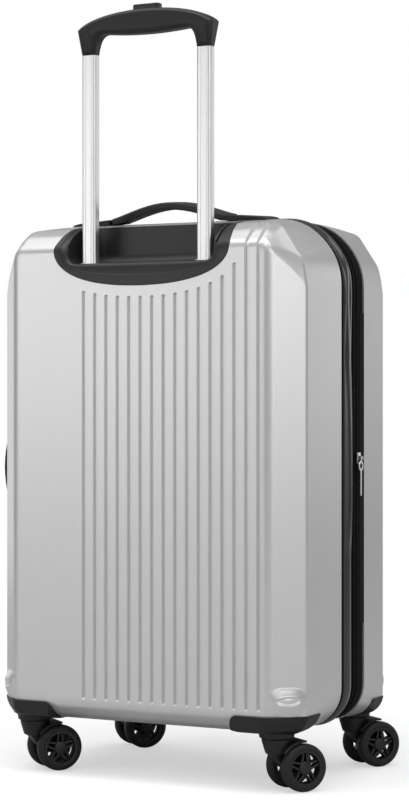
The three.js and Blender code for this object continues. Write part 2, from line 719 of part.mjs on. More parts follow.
const innerTubeTop = GRIP_BOTTOM - GAP;
const midTubeTop = RECESS_FLOOR + MID_TUBE_PROUD;
const stages = [
  ["outer_tube", OUTER_TUBE, OUTER_TUBE_TOP],
  ["mid_tube", MID_TUBE, midTubeTop],
  ["inner_tube", INNER_TUBE, innerTubeTop],
];
for (const [name, size, top] of stages) {
  for (const [label, side] of [["left", -1], ["right", 1]]) {
    const group = groupAt(caseGroup, side * TUBE_X, TUBE_Y, 0);
    addPiece(group, `${name}_${label}`, tube(size, top - size.length, top), aluminium());
  }
}

// The bar that holds the feet of both outer tubes.
function footBracket() {
  const bottom = OUTER_TUBE_TOP - OUTER_TUBE.length - BRACKET_WALL;
  const width = TUBE_SPACING + OUTER_TUBE.width + 2 * BRACKET_WALL;
  const depth = OUTER_TUBE.depth + 2 * BRACKET_RIM;
  const bar = roundedRectangle(width, depth, TUBE_CORNER);
  const body = prismAlongZ(bar, bottom, bottom + BRACKET_HEIGHT).translate([0, TUBE_Y, 0]);
  const sockets = tubeHoles(OUTER_TUBE, GAP, bottom + BRACKET_WALL - GAP, bottom + 2 * BRACKET_HEIGHT);
  return cut(body, sockets);
}
addPiece(caseGroup, "tube_foot_bracket", footBracket(), blackPlastic());

function gripOutline() {
  const shoulder = TUBE_X + GRIP_SHOULDER_OVERHANG;
  const inner = TUBE_X - COLLAR_HALF_WIDTH;
  const under = GRIP_HEIGHT - GRIP_BAR;
  const crown = (4 * GRIP_HEIGHT - GRIP_SHOULDER_HEIGHT) / 3;
  const crownReach = GRIP_CROWN_REACH * shoulder;
  const shape = new THREE.Shape();
  shape.moveTo(inner, 0);
  shape.lineTo(TUBE_X + COLLAR_HALF_WIDTH, 0);
  shape.lineTo(shoulder, GRIP_SHOULDER_HEIGHT);
  shape.bezierCurveTo(crownReach, crown, -crownReach, crown, -shoulder, GRIP_SHOULDER_HEIGHT);
  shape.lineTo(-TUBE_X - COLLAR_HALF_WIDTH, 0);
  shape.lineTo(-inner, 0);
  shape.quadraticCurveTo(GRIP_THROAT - inner, under, GRIP_CORNER - inner, under);
  shape.lineTo(inner - GRIP_CORNER, under);
  shape.quadraticCurveTo(inner - GRIP_THROAT, under, inner, 0);
  return shape;
}

function buttonBody(grow, z0, z1) {
  const outline = roundedRectangle(BUTTON_LENGTH + 2 * grow, BUTTON_DEPTH + 2 * grow, BUTTON_CORNER);
  return prismAlongZ(outline, z0, z1);
}

function grip() {
  const bevel = {
    bevelEnabled: true,
    bevelThickness: GRIP_BEVEL,
    bevelSize: GRIP_BEVEL,
    bevelOffset: -GRIP_BEVEL,
    bevelSegments: 1,
    curveSegments: 8,
  };
  const half = GRIP_DEPTH / 2 - GRIP_BEVEL;
  const taper = [
    [COLLAR_DEPTH / 2, -CUT],
    [COLLAR_DEPTH / 2, 0],
    [GRIP_DEPTH / 2, GRIP_SHOULDER_HEIGHT - GRIP_BEVEL],
    [GRIP_DEPTH / 2, GRIP_HEIGHT + CUT],
  ];
  const sideView = polygon([...taper, ...taper.map(([y, z]) => [-y, z]).reverse()]);
  const wedge = prismAlongX(sideView, -2 * TUBE_X, 2 * TUBE_X);
  const body = prismAlongY(gripOutline(), -half, half, bevel).intersect(wedge);
  const plugRoom = 2 * (TUBE_WALL + GAP);
  const plug = prismAlongZ(
    roundedRectangle(INNER_TUBE.width - plugRoom, INNER_TUBE.depth - plugRoom, TUBE_CORNER / 2),
    -PLUG_LENGTH,
    GAP,
  );
  const pocketFloor = GRIP_HEIGHT - BUTTON_SEAT - BUTTON_TRAVEL - GAP;
  return joined(
    cut(body, buttonBody(GAP, pocketFloor, GRIP_HEIGHT + CUT)),
    plug.translate([-TUBE_X, 0, 0]),
    plug.translate([TUBE_X, 0, 0]),
  );
}

const gripGroup = groupAt(caseGroup, 0, TUBE_Y, GRIP_BOTTOM);
addPiece(gripGroup, "grip", grip(), softBlack());
addPiece(
  gripGroup,
  "grip_button",
  buttonBody(0, GRIP_HEIGHT - BUTTON_SEAT, GRIP_HEIGHT + BUTTON_PROUD),
  blackPlastic(),
);

// ---------------------------------------------------------------- carry handles

// The arched bar, along X, over a surface at z = 0, with a thin tab at each end.
function carryBar() {
  const end = CARRY_HALF_LENGTH - GAP;
  const topOfEnd = FOOT_HEIGHT + CARRY_STEP;
  const rise = CARRY_RISE - topOfEnd;
  const steps = 8;
  const crest = Array.from({ length: 2 * steps + 1 }, (_, i) => {
    const x = end * (i / steps - 1);
    const lift = Math.pow(0.5 + 0.5 * Math.cos((Math.PI * x) / end), CARRY_FULLNESS);
    return [x, topOfEnd + rise * lift];
  });
  const belly = crest.map(([x, z]) => [x, Math.max(z - CARRY_THICKNESS, 2 * GAP)]).reverse();
  const half = CARRY_WIDTH / 2 - CARRY_BEVEL;
  const bar = prismAlongY(polygon([...crest, ...belly].reverse()), -half, half, {
    bevelEnabled: true,
    bevelThickness: CARRY_BEVEL,
    bevelSize: CARRY_BEVEL / 2,
    bevelOffset: -CARRY_BEVEL / 2,
    bevelSegments: 1,
  });
  const root = end - CARRY_TAB_ROOT;
  const reach = CARRY_HALF_LENGTH + CARRY_TAB_LENGTH;
  const tabFloor = CARRY_TAB_LIFT + GAP;
  const tabs = [-1, 1].map((side) =>
    block(
      [Math.min(side * root, side * reach), Math.max(side * root, side * reach)],
      [-CARRY_TAB_WIDTH / 2, CARRY_TAB_WIDTH / 2],
      [tabFloor, tabFloor + CARRY_TAB_THICKNESS],
    ),
  );
  return joined(bar, ...tabs);
}

// The cap over one end of the bar, on the +X end or the -X end.
function carryFoot(side) {
  const near = CARRY_HALF_LENGTH;
  const far = CARRY_HALF_LENGTH + FOOT_LENGTH;
  const outline = [
    [near, GAP],
    [far, GAP],
    [far, FOOT_EDGE_HEIGHT],
    [far - FOOT_NOSE_LENGTH, FOOT_NOSE_HEIGHT],
    [far - FOOT_TIP_LENGTH, FOOT_TIP_HEIGHT],
    [near, FOOT_HEIGHT],
  ];
  const order = side > 0 ? outline : outline.map(([x, z]) => [-x, z]).reverse();
  const body = prismAlongY(polygon(order), -FOOT_WIDTH / 2, FOOT_WIDTH / 2);
  const reach = CARRY_HALF_LENGTH + CARRY_TAB_LENGTH + CARRY_PLAY;
  const mouth = CARRY_HALF_LENGTH - CUT;
  const slot = block(
    [Math.min(side * mouth, side * reach), Math.max(side * mouth, side * reach)],
    [-CARRY_TAB_WIDTH / 2 - GAP, CARRY_TAB_WIDTH / 2 + GAP],
    [CARRY_TAB_LIFT, CARRY_TAB_LIFT + 2 * GAP + CARRY_TAB_THICKNESS + CARRY_PLAY],
  );
  return cut(body, slot);
}

// The flare tilts the walls that the handles stand on by this much.
const carrySlope = Math.atan2(RIM_FLARE, REAR_SHELL_DEPTH - FLARE_DEPTH);
const carryLift = (RIM_FLARE * (CARRY_DEPTH - FLARE_DEPTH)) / (REAR_SHELL_DEPTH - FLARE_DEPTH);
const carryInset = RIM_FLARE - carryLift;

const topHandleGroup = groupAt(caseGroup, 0, BACK_Y - CARRY_DEPTH, CASE_TOP - carryInset);
topHandleGroup.rotation.x = -carrySlope;
addPiece(topHandleGroup, "top_handle", carryBar(), softBlack());
addPiece(topHandleGroup, "top_handle_foot_left", carryFoot(-1), blackPlastic());
addPiece(topHandleGroup, "top_handle_foot_right", carryFoot(1), blackPlastic());

const sideHandleGroup = groupAt(
  caseGroup,
  HALF_WIDTH - carryInset,
  BACK_Y - CARRY_DEPTH,
  CASE_BOTTOM + SIDE_HANDLE_Z,
);
sideHandleGroup.rotation.set(0, Math.PI / 2, carrySlope, "ZYX");
addPiece(sideHandleGroup, "side_handle", carryBar(), softBlack());
addPiece(sideHandleGroup, "side_handle_foot_upper", carryFoot(-1), blackPlastic());
addPiece(sideHandleGroup, "side_handle_foot_lower", carryFoot(1), blackPlastic());

// ---------------------------------------------------------------- zip sliders

// A slider on a wall at z = 0 that its pull hangs along -X from a pin along Y.
function zipSlider() {
  const pinZ = SLIDER.rise + SLIDER_EAR.rise - PULL_BARREL_RADIUS;
  const body = box(
    { x: SLIDER.height, y: SLIDER.width, z: SLIDER.rise },
    { x: 0, y: 0, z: GAP + SLIDER.rise / 2 },
  );
  const earY = PULL.width / 2 + GAP;
  const ears = [-1, 1].map((side) =>
    box(
      { x: SLIDER_EAR.length, y: SLIDER_EAR.width, z: SLIDER_EAR.rise + OVERLAP },
      {
        x: 0,
        y: side * (earY + SLIDER_EAR.width / 2),
        z: GAP + SLIDER.rise + (SLIDER_EAR.rise - OVERLAP) / 2,
      },
    ),
  );
  const pinHalf = earY + OVERLAP;
  const pin = crossBar(SLIDER_PIN_RADIUS, -pinHalf, pinHalf, { z: pinZ, sides: 12 });
  return joined(body, ...ears, pin);
}

// The pull: a barrel on the pin, a ring and a straight bar, hanging along -X.
function zipPull() {
  const z = SLIDER.rise + SLIDER_EAR.rise - PULL_BARREL_RADIUS;
  const half = PULL.width / 2;
  const neckLength = SLIDER_EAR.length / 2 + 2 * GAP;
  const ringX = -PULL.ring - neckLength;
  const flat = (radius, height) =>
    uprightBar(radius, z - height / 2, z + height / 2, { x: ringX, sides: 20 });
  const barrel = crossBar(PULL_BARREL_RADIUS, -half, half, { z, sides: 12 });
  const neck = box(
    { x: neckLength, y: PULL.width, z: PULL.thickness },
    { x: -neckLength / 2 - 2 * OVERLAP, y: 0, z },
  );
  const bar = box(
    { x: PULL.length - 2 * PULL.ring, y: PULL.width, z: PULL.thickness },
    { x: ringX - PULL.length / 2 + 2 * OVERLAP, y: 0, z },
  );
  const ring = cut(flat(PULL.ring, PULL.thickness), flat(PULL.hole, PULL.thickness + CUT));
  const bore = crossBar(SLIDER_PIN_RADIUS + GAP, -half - CUT, half + CUT, { z, sides: 12 });
  return cut(joined(barrel, neck, ring, bar), bore);
}

// Puts a slider and its pull on one side of the case, with the pull hanging down.
function addSlider(name, side, y, z) {
  const group = groupAt(caseGroup, side * HALF_WIDTH, y, z);
  group.rotation.set(0, Math.PI / 2, side > 0 ? 0 : Math.PI, "ZYX");
  const hanging = new THREE.Group();
  hanging.rotation.z = Math.PI;
  group.add(hanging);
  addPiece(hanging, `${name}_slider`, zipSlider(), bluntSteel());
  addPiece(hanging, `${name}_pull`, zipPull(), bluntSteel());
}
addSlider("expansion_zip", -1, EXPANSION_Y, CASE_BOTTOM + EXPANSION_SLIDER_Z);
addSlider("main_zip", 1, MAIN_ZIP_Y, CASE_BOTTOM + MAIN_SLIDER_Z);

// ---------------------------------------------------------------- inside

// The lining: a panel in front of the tubes, stepped forwards round the recess.
function rearLining() {
  const half = HALF_WIDTH - LINING_SIDE_GAP;
  const step = BEZEL_DEPTH + LINING_RECESS_GAP;
  const y = BACK_Y - LINING_DEPTH;
  const ledge = OUTER_TUBE_TOP - BEZEL_WALL - LINING_LEDGE_DROP;
  const panel = block(
    [-half, half],
    [y - LINING_THICKNESS, y],
    [CASE_BOTTOM + LINING_BOTTOM_GAP, ledge],
  );
  const bezelSide = BEZEL_REACH.left + LINING_RECESS_MARGIN;
  const shelf = block(
    [-bezelSide, bezelSide],
    [BACK_Y - step - LINING_THICKNESS, y],
    [ledge - LINING_THICKNESS, ledge],
  );
  const apron = block(
    [-bezelSide, bezelSide],
    [BACK_Y - step - LINING_THICKNESS, BACK_Y - step],
    [ledge - LINING_THICKNESS, CASE_TOP - LINING_TOP_GAP],
  );
  return joined(panel, shelf, apron);
}
addPiece(caseGroup, "rear_lining", rearLining(), liningGrey());

const strapY = REAR_RIM_Y + STRAP_SETBACK;
const strapHalf = HALF_WIDTH - RIM_FLARE - SHELL_WALL;
const strap = box(
  { x: 2 * strapHalf, y: STRAP_THICKNESS, z: STRAP_HEIGHT },
  { x: 0, y: strapY, z: CASE_BOTTOM + STRAP_Z },
);
addPiece(caseGroup, "packing_strap", strap, blackFabric());
const buckle = box(
  { x: BUCKLE.width, y: BUCKLE.thickness, z: BUCKLE.height },
  {
    x: 0,
    y: strapY - STRAP_THICKNESS / 2 - GAP - BUCKLE.thickness / 2,
    z: CASE_BOTTOM + STRAP_Z,
  },
);
addPiece(caseGroup, "strap_buckle", buckle, blackPlastic());

// ---------------------------------------------------------------- casters

// In a caster's own frame the swivel axis is Z, the fork trails along +X and the axle lies
// along Y. A wheel's own frame has its axle along Y through the origin.

const WHEEL_SIDES = 24;
const FLAT_SHARE = 1 / Math.cos(Math.PI / WHEEL_SIDES); // flat of a facet to its corner

// A ring or disc round the axle, from a closed [radius, y] profile, with a facet at the foot.
function turned(profile) {
  const points = profile.map(([radius, y]) => new THREE.Vector2(radius * FLAT_SHARE, y));
  return solidOf(new THREE.LatheGeometry(points, WHEEL_SIDES, Math.PI / WHEEL_SIDES));
}

function tyre() {
  const half = WHEEL_WIDTH / 2;
  return turned([
    [TREAD_RADIUS, -half],
    [WHEEL_RADIUS - TYRE_SHOULDER, -half],
    [WHEEL_RADIUS, TYRE_SHOULDER - half],
    [WHEEL_RADIUS, half - TYRE_SHOULDER],
    [WHEEL_RADIUS - TYRE_SHOULDER, half],
    [TREAD_RADIUS, half],
    [TREAD_RADIUS, -half],
  ]);
}

// One window between two spokes, as a prism right through the rim.
function rimWindow(index) {
  const pitch = (2 * Math.PI) / SPOKES;
  const start = index * pitch + SPOKE_ANGLE / 2;
  const end = (index + 1) * pitch - SPOKE_ANGLE / 2;
  const shape = new THREE.Shape();
  shape.absarc(0, 0, TREAD_RADIUS - GAP - RIM_FLANGE, start, end, false);
  shape.absarc(0, 0, HUB_RADIUS + HUB_COLLAR, end, start, true);
  shape.closePath();
  return prismAlongY(shape, -WHEEL_WIDTH, WHEEL_WIDTH, { curveSegments: 2 });
}

// A rim whose closed hub cover is at the +Y end.
function rim() {
  const half = WHEEL_WIDTH / 2 - RIM_INSET;
  const disc = turned([
    [0, -half],
    [TREAD_RADIUS - GAP, -half],
    [TREAD_RADIUS - GAP, half],
    [0, half],
  ]);
  const windows = Array.from({ length: SPOKES }, (_, index) => rimWindow(index));
  const bore = crossBar(AXLE_RADIUS + GAP, -half - CUT, half - HUB_COVER, { sides: 12 });
  return cut(disc, bore, ...windows);
}

// A curved cover over the tops of both wheels.
function fender() {
  const inner = WHEEL_RADIUS + WHEEL_CLEARANCE;
  const outer = inner + FENDER_THICKNESS;
  const from = THREE.MathUtils.degToRad(FENDER_START);
  const to = THREE.MathUtils.degToRad(FENDER_END);
  const shape = new THREE.Shape();
  shape.absarc(TRAIL, WHEEL_RADIUS, outer, from, to, false);
  shape.absarc(TRAIL, WHEEL_RADIUS, inner, to, from, true);
  shape.closePath();
  return prismAlongY(shape, -FENDER_WIDTH / 2, FENDER_WIDTH / 2, { curveSegments: 7 });
}

function fork() {
  const crown = SEAT_Z - GAP;
  const hood = uprightBar(HOOD_RADIUS, crown - HOOD_HEIGHT, crown, { foot: HOOD_TIP_RADIUS, sides: 16 });
  const stem = uprightBar(STEM_RADIUS, crown - CUT, SEAT_Z + STEM_LENGTH, { sides: 12 });
  const root = LEG_SETBACK - HOOD_TIP_RADIUS;
  const legOutline = polygon([
    [root, crown - HOOD_HEIGHT + LEG_SETBACK],
    [TRAIL - HUB_RADIUS, WHEEL_RADIUS - HUB_RADIUS + LEG_CHIN],
    [TRAIL, WHEEL_RADIUS - HUB_RADIUS - LEG_CHIN],
    [TRAIL + HUB_RADIUS, WHEEL_RADIUS - HUB_RADIUS / 2],
    [TRAIL + HUB_RADIUS, WHEEL_RADIUS + HUB_RADIUS],
    [TRAIL, 2 * WHEEL_RADIUS],
    [HOOD_TIP_RADIUS, crown - LEG_DROP],
    [root, crown - LEG_DROP],
  ]);
  const leg = prismAlongY(legOutline, -LEG_WIDTH / 2, LEG_WIDTH / 2);
  const place = { x: TRAIL, z: WHEEL_RADIUS };
  const room = WHEEL_RADIUS + WHEEL_CLEARANCE;
  const wells = [-1, 1].map((side) =>
    crossBar(
      room,
      Math.min(side * (LEG_WIDTH / 2), side * FENDER_WIDTH),
      Math.max(side * (LEG_WIDTH / 2), side * FENDER_WIDTH),
      { ...place, sides: 28 },
    ),
  );
  const bore = crossBar(AXLE_RADIUS + GAP, -LEG_WIDTH, LEG_WIDTH, { ...place, sides: 12 });
  return joined(cut(joined(hood, leg, fender()), ...wells, bore), stem);
}

const wheelOffset = (TWIN_GAP + WHEEL_WIDTH) / 2;
const axleHalf = TWIN_GAP / 2 + WHEEL_WIDTH - RIM_INSET - HUB_COVER - GAP;
CASTERS.forEach(({ name, side, end, heading }) => {
  const x = side * (HALF_WIDTH - CASTER_INSET_SIDE);
  const y = end * (BACK_Y - CASTER_INSET_DEPTH);
  const caster = groupAt(caseGroup, x, y, 0);
  caster.rotation.z = THREE.MathUtils.degToRad(heading);
  addPiece(caster, `caster_fork_${name}`, fork(), blackPlastic());
  const axleGroup = groupAt(caster, TRAIL, 0, WHEEL_RADIUS);
  const axle = crossBar(AXLE_RADIUS, -axleHalf, axleHalf, { sides: 12 });
  addPiece(axleGroup, `axle_${name}`, axle, bluntSteel());
  for (const [label, turn] of [["a", 0], ["b", Math.PI]]) {
    const wheel = groupAt(axleGroup, 0, turn ? -wheelOffset : wheelOffset, 0);
    wheel.rotation.z = turn;
    addPiece(wheel, `tyre_${name}_${label}`, tyre(), tyreBlack());
    addPiece(wheel, `rim_${name}_${label}`, rim(), blackPlastic());
  }
});

// ---------------------------------------------------------------- origin

// The origin goes under the middle of the whole object.
suitcase.updateMatrixWorld(true);
const bounds = new THREE.Box3().setFromObject(suitcase, true);
caseGroup.position.set(
  -(bounds.min.x + bounds.max.x) / 2,
  -(bounds.min.y + bounds.max.y) / 2,
  -bounds.min.z,
);

export default suitcase;
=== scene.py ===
# %% [markdown]
# # A hard-shell cabin suitcase
#
# A case like this is two vacuum-formed plastic shells with a soft zipped band between them, a telescopic
# handle in a moulded bezel, two carry handles and four twin-wheel casters. The frame that this script
# loads holds all of that at its true size, as plain solids. Here each solid gets its real surface: the
# pressed grooves, the soft creases, the zip teeth, the spokes, the cloth inside and the finishes.
#
# We work in millimetres from the middle of the case, with X across it, +Y out of its back and +Z up, and
# each finished mesh is scaled to metres and set in its place once, at the end.

# %% Load the fixed frame
import math

import bmesh
import bpy
import numpy as np
from mathutils import Matrix, Vector, noise
from mathutils.geometry import interpolate_bezier


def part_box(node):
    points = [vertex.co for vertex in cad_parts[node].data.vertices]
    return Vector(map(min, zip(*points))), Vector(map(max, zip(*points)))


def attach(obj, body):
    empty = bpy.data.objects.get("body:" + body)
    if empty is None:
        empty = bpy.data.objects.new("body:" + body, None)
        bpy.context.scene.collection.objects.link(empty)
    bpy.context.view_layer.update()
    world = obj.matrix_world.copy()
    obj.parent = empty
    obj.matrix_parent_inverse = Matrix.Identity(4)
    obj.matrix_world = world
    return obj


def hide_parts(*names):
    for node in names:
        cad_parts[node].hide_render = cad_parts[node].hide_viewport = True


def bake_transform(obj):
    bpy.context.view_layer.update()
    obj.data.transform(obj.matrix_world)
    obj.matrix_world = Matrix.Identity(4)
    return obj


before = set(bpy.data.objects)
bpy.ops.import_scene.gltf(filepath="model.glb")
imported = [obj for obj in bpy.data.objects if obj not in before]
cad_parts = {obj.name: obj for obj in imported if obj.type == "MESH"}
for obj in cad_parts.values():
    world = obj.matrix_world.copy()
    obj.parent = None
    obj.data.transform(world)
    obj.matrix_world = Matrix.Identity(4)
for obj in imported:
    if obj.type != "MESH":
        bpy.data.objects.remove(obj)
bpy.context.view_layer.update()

# %% [markdown]
# ## Where things are
#
# Every size that the frame already knows is read from it, so that the looks follow the solids if they
# ever change. `spot` gives a solid's corners in our millimetres.

# %% Read the case's own sizes from the frame
MM = 0.001
rear_box, front_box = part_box("rear_shell"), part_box("front_shell")
CASE_MIDDLE = Vector(((rear_box[0].x + rear_box[1].x) / 2, (front_box[0].y + rear_box[1].y) / 2, 0))
TO_FRAME = Matrix.Translation(CASE_MIDDLE) @ Matrix.Scale(MM, 4)


def spot(node):
    """A solid's lowest and highest corner, in millimetres from the middle of the case."""
    return [(corner - CASE_MIDDLE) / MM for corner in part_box(node)]


def middle(node):
    low, high = spot(node)
    return (low + high) / 2


(_, REAR_RIM, BOTTOM), (HALF_WIDTH, BACK, TOP) = spot("rear_shell")
FRONT_RIM = spot("front_shell")[1].y
TUBE_X, TUBE_Y, _ = middle("inner_tube_right")
print(f"case {2 * HALF_WIDTH:.0f} x {2 * BACK:.0f} x {TOP - BOTTOM:.0f} mm")

# %% [markdown]
# ## The camera
#
# A long lens from a few steps away keeps the case's sides nearly parallel. The camera is level, a little above
# the middle of the shell, and looks at the back and the left side at once.

# %% Set up the camera
EYE = Vector((-1160.8, 2122.1, 384.9))
VIEW_TURN = math.radians(28.44)
camera = bpy.data.objects.new("camera", bpy.data.cameras.new("camera"))
camera.data.lens = 104.75
camera.data.shift_y = -0.006
camera.data.clip_end = 100
camera.location = TO_FRAME @ EYE
camera.rotation_euler = (math.pi / 2, 0, math.pi + VIEW_TURN)
bpy.context.scene.collection.objects.link(camera)
bpy.context.scene.camera = camera
print("camera at", [round(value, 3) for value in camera.location])

# %% [markdown]
# ## Helpers for shapes
#
# Most moulded shapes here are lofts: a few rings with the same number of points in each, and a skin over
# them. Bridging two rings pairs their points by nearness and may twist them where rings differ much, so
# `skin` pairs them by their order. What is turned on a lathe is spun, what is extruded is extruded, and
# holes and pockets are cut with a Boolean, as the core of a mould forms them.
#
# Edges that are sharper than a crease angle stay sharp, and all the rest are shaded smooth. Weighted
# normals keep the broad faces flat next to their small rounded edges.


# %% Small shape helpers
def blend(a, b, share):
    return a + (b - a) * share


def step_down(value, inner, outer):
    """1 up to inner, 0 from outer on, with a smooth slope between."""
    t = min(1, max(0, (value - inner) / (outer - inner)))
    return 1 - t * t * (3 - 2 * t)


def skin(rings, capped=True, closed=False):
    """Draws a surface over rings of points, and closes its two ends or joins the last to the first."""
    bm = bmesh.new()
    loops = [[bm.verts.new(point) for point in points] for points in rings]
    following = loops[1:] + loops[:1] if closed else loops[1:]
    for first, second in zip(loops, following):
        for i in range(len(first)):
            j = (i + 1) % len(first)
            bm.faces.new((first[i], first[j], second[j], second[i]))
    if capped and not closed:
        bm.faces.new(loops[0])
        bm.faces.new(loops[-1])
    bmesh.ops.recalc_face_normals(bm, faces=bm.faces)
    return bm


def prism(points, offset):
    """A solid: the flat outline through the points, carried along offset."""
    bm = bmesh.new()
    face = bm.faces.new([bm.verts.new(point) for point in points])
    carried = bmesh.ops.extrude_face_region(bm, geom=[face], use_keep_orig=True)
    moved = [item for item in carried["geom"] if isinstance(item, bmesh.types.BMVert)]
    bmesh.ops.translate(bm, vec=offset, verts=moved)
    bmesh.ops.recalc_face_normals(bm, faces=bm.faces)
    return bm


def turned(profile, axis, steps=48, closed=False):
    """A turned solid from a line that starts and ends on the axis, or a ring from a closed section."""
    bm = bmesh.new()
    verts = [bm.verts.new(point) for point in profile]
    following = verts[1:] + verts[:1] if closed else verts[1:]
    geom = verts + [bm.edges.new(pair) for pair in zip(verts, following)]
    bmesh.ops.spin(bm, geom=geom, cent=(0, 0, 0), axis=axis, angle=2 * math.pi, steps=steps, use_merge=True)
    bmesh.ops.remove_doubles(bm, verts=bm.verts, dist=1e-3)
    bmesh.ops.recalc_face_normals(bm, faces=bm.faces)
    return bm


def slice_rows(bm, positions, normal):
    """Cuts rows of edges into a mesh, square to the normal, without taking anything away."""
    for position in positions:
        everything = bm.verts[:] + bm.edges[:] + bm.faces[:]
        bmesh.ops.bisect_plane(bm, geom=everything, plane_co=Vector(normal) * position, plane_no=normal)


def round_off(bm, edges, width, segments=3):
    bmesh.ops.bevel(bm, geom=edges, offset=width, segments=segments, profile=0.5, affect="EDGES", material=-1)


def without_large_faces(bm):
    """Cuts faces with more than four corners into triangles, so that bending them can't fold them."""
    bmesh.ops.triangulate(bm, faces=[face for face in bm.faces if len(face.verts) > 4])
    return bm


# %% Cutting, joining and setting pieces in place
def as_object(*parts, name="part"):
    """One object from one or more meshes that don't touch each other."""
    joined = bmesh.new()
    for part in parts:
        mesh = bpy.data.meshes.new(name)
        part.to_mesh(mesh)
        part.free()
        joined.from_mesh(mesh)
        bpy.data.meshes.remove(mesh)
    mesh = bpy.data.meshes.new(name)
    joined.to_mesh(mesh)
    joined.free()
    made = bpy.data.objects.new(name, mesh)
    bpy.context.scene.collection.objects.link(made)
    return made


def placed_copy(pattern, place):
    """A copy of a pattern's mesh, moved to its place."""
    bm = bmesh.new()
    bm.from_mesh(pattern.data)
    bmesh.ops.transform(bm, matrix=place, verts=bm.verts)
    return as_object(bm)


def combine(piece, operation, *others):
    """Cuts (DIFFERENCE), joins (UNION) or keeps the overlap (INTERSECT), and uses the others up."""
    for other in others:
        modifier = piece.modifiers.new(operation.lower(), "BOOLEAN")
        modifier.operation = operation
        modifier.solver = "EXACT"
        modifier.object = other
    graph = bpy.context.evaluated_depsgraph_get()
    mesh = bpy.data.meshes.new_from_object(piece.evaluated_get(graph))
    piece.modifiers.clear()
    piece.data = mesh
    for other in others:
        bpy.data.objects.remove(other)
    return piece


def settle(piece, name, material, body, replaces=(), crease=32):
    """Scales a finished piece to metres, shades it, and lets it ride on its body."""
    bm = bmesh.new()
    bm.from_mesh(piece.data)
    bmesh.ops.remove_doubles(bm, verts=bm.verts, dist=1e-4)
    bmesh.ops.dissolve_degenerate(bm, edges=bm.edges, dist=1e-4)
    for face in bm.faces:
        face.smooth = True
    for edge in bm.edges:
        edge.smooth = edge.calc_face_angle(0) < math.radians(crease)
    bmesh.ops.transform(bm, matrix=TO_FRAME, verts=bm.verts)
    bm.to_mesh(piece.data)
    triangles = len(bm.calc_loop_triangles())
    bm.free()
    piece.name = piece.data.name = name
    piece.data.materials.clear()
    piece.data.materials.append(material)
    piece.modifiers.new("even_shading", "WEIGHTED_NORMAL").keep_sharp = True
    if replaces:
        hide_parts(*replaces)
    if body:
        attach(piece, body)
    print(f"{name}: {triangles} triangles")
    return piece


def refined(solid, width, segments=2, angle=30):
    """A copy of a solid with its edges broken, for small moulded parts whose shape is right already."""
    bm = bmesh.new()
    bm.from_mesh(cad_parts[solid].data)
    bmesh.ops.remove_doubles(bm, verts=bm.verts, dist=2e-6)
    bmesh.ops.dissolve_limit(bm, angle_limit=math.radians(1), verts=bm.verts, edges=bm.edges)
    bmesh.ops.transform(bm, matrix=TO_FRAME.inverted(), verts=bm.verts)
    sharp = [edge for edge in bm.edges if edge.calc_face_angle(0) > math.radians(angle)]
    round_off(bm, sharp, width, segments)
    return as_object(bm)


def settle_refined(solid, suffix, material, body, width, segments=2):
    """A solid with its edges broken, settled under its own name and a suffix."""
    return settle(refined(solid, width, segments), f"{solid}_{suffix}", material, body, [solid])


# %% [markdown]
# ## Helpers for materials
#
# Colours are written as the sRGB hex values that a paint chart or a screen would give, and one function
# turns them to the linear values that the shaders want. One more adds a node, sets its values and links
# its inputs, which keeps each material readable as a short recipe. Patterns read Object coordinates, in
# metres, so a scale is worked out from a real spacing in millimetres.


# %% Colour and node helpers
def srgb(code):
    channels = [int(code[i : i + 2], 16) / 255 for i in (1, 3, 5)]
    linear = [c / 12.92 if c <= 0.04045 else ((c + 0.055) / 1.055) ** 2.4 for c in channels]
    return (*linear, 1)


def per_metre(millimetres):
    """How many times a pattern with this spacing repeats in a metre."""
    return 1 / (millimetres * MM)


def node(material, kind, inputs=None, **settings):
    """Adds a node, sets its properties, and fills its inputs with values or with other nodes' outputs."""
    tree = material.node_tree
    made = tree.nodes.new("ShaderNode" + kind)
    for name, value in settings.items():
        setattr(made, name, value)
    for socket, value in (inputs or {}).items():
        if isinstance(value, bpy.types.NodeSocket):
            tree.links.new(value, made.inputs[socket])
        else:
            made.inputs[socket].default_value = value
    return made


def new_material(name):
    material = bpy.data.materials.new(name)
    material.use_nodes = True
    material.node_tree.nodes.clear()
    return material


# %% [markdown]
# ## Brushed silver polycarbonate
#
# The shells are polycarbonate sheet under a thin brushed-metal film. The film gives a soft, pearly grey
# that is half metal, half paint, with hair-fine upright strokes, and the clear sheet over it adds a satin
# gloss. The strokes could be an anisotropic shader, but that has no strokes of its own to see close by, so
# they are long noise cells instead: fine across and drawn out along Z, in the colour, the roughness and
# the bump. Real strokes are a tenth of a millimetre wide, and here they are a little coarser so that they
# show. A second, broad noise keeps the large faces from looking dead even.

# %% The shell's finish
STROKE_WIDTH, STROKE_LENGTH, CLOUD_SIZE = 0.5, 45, 140


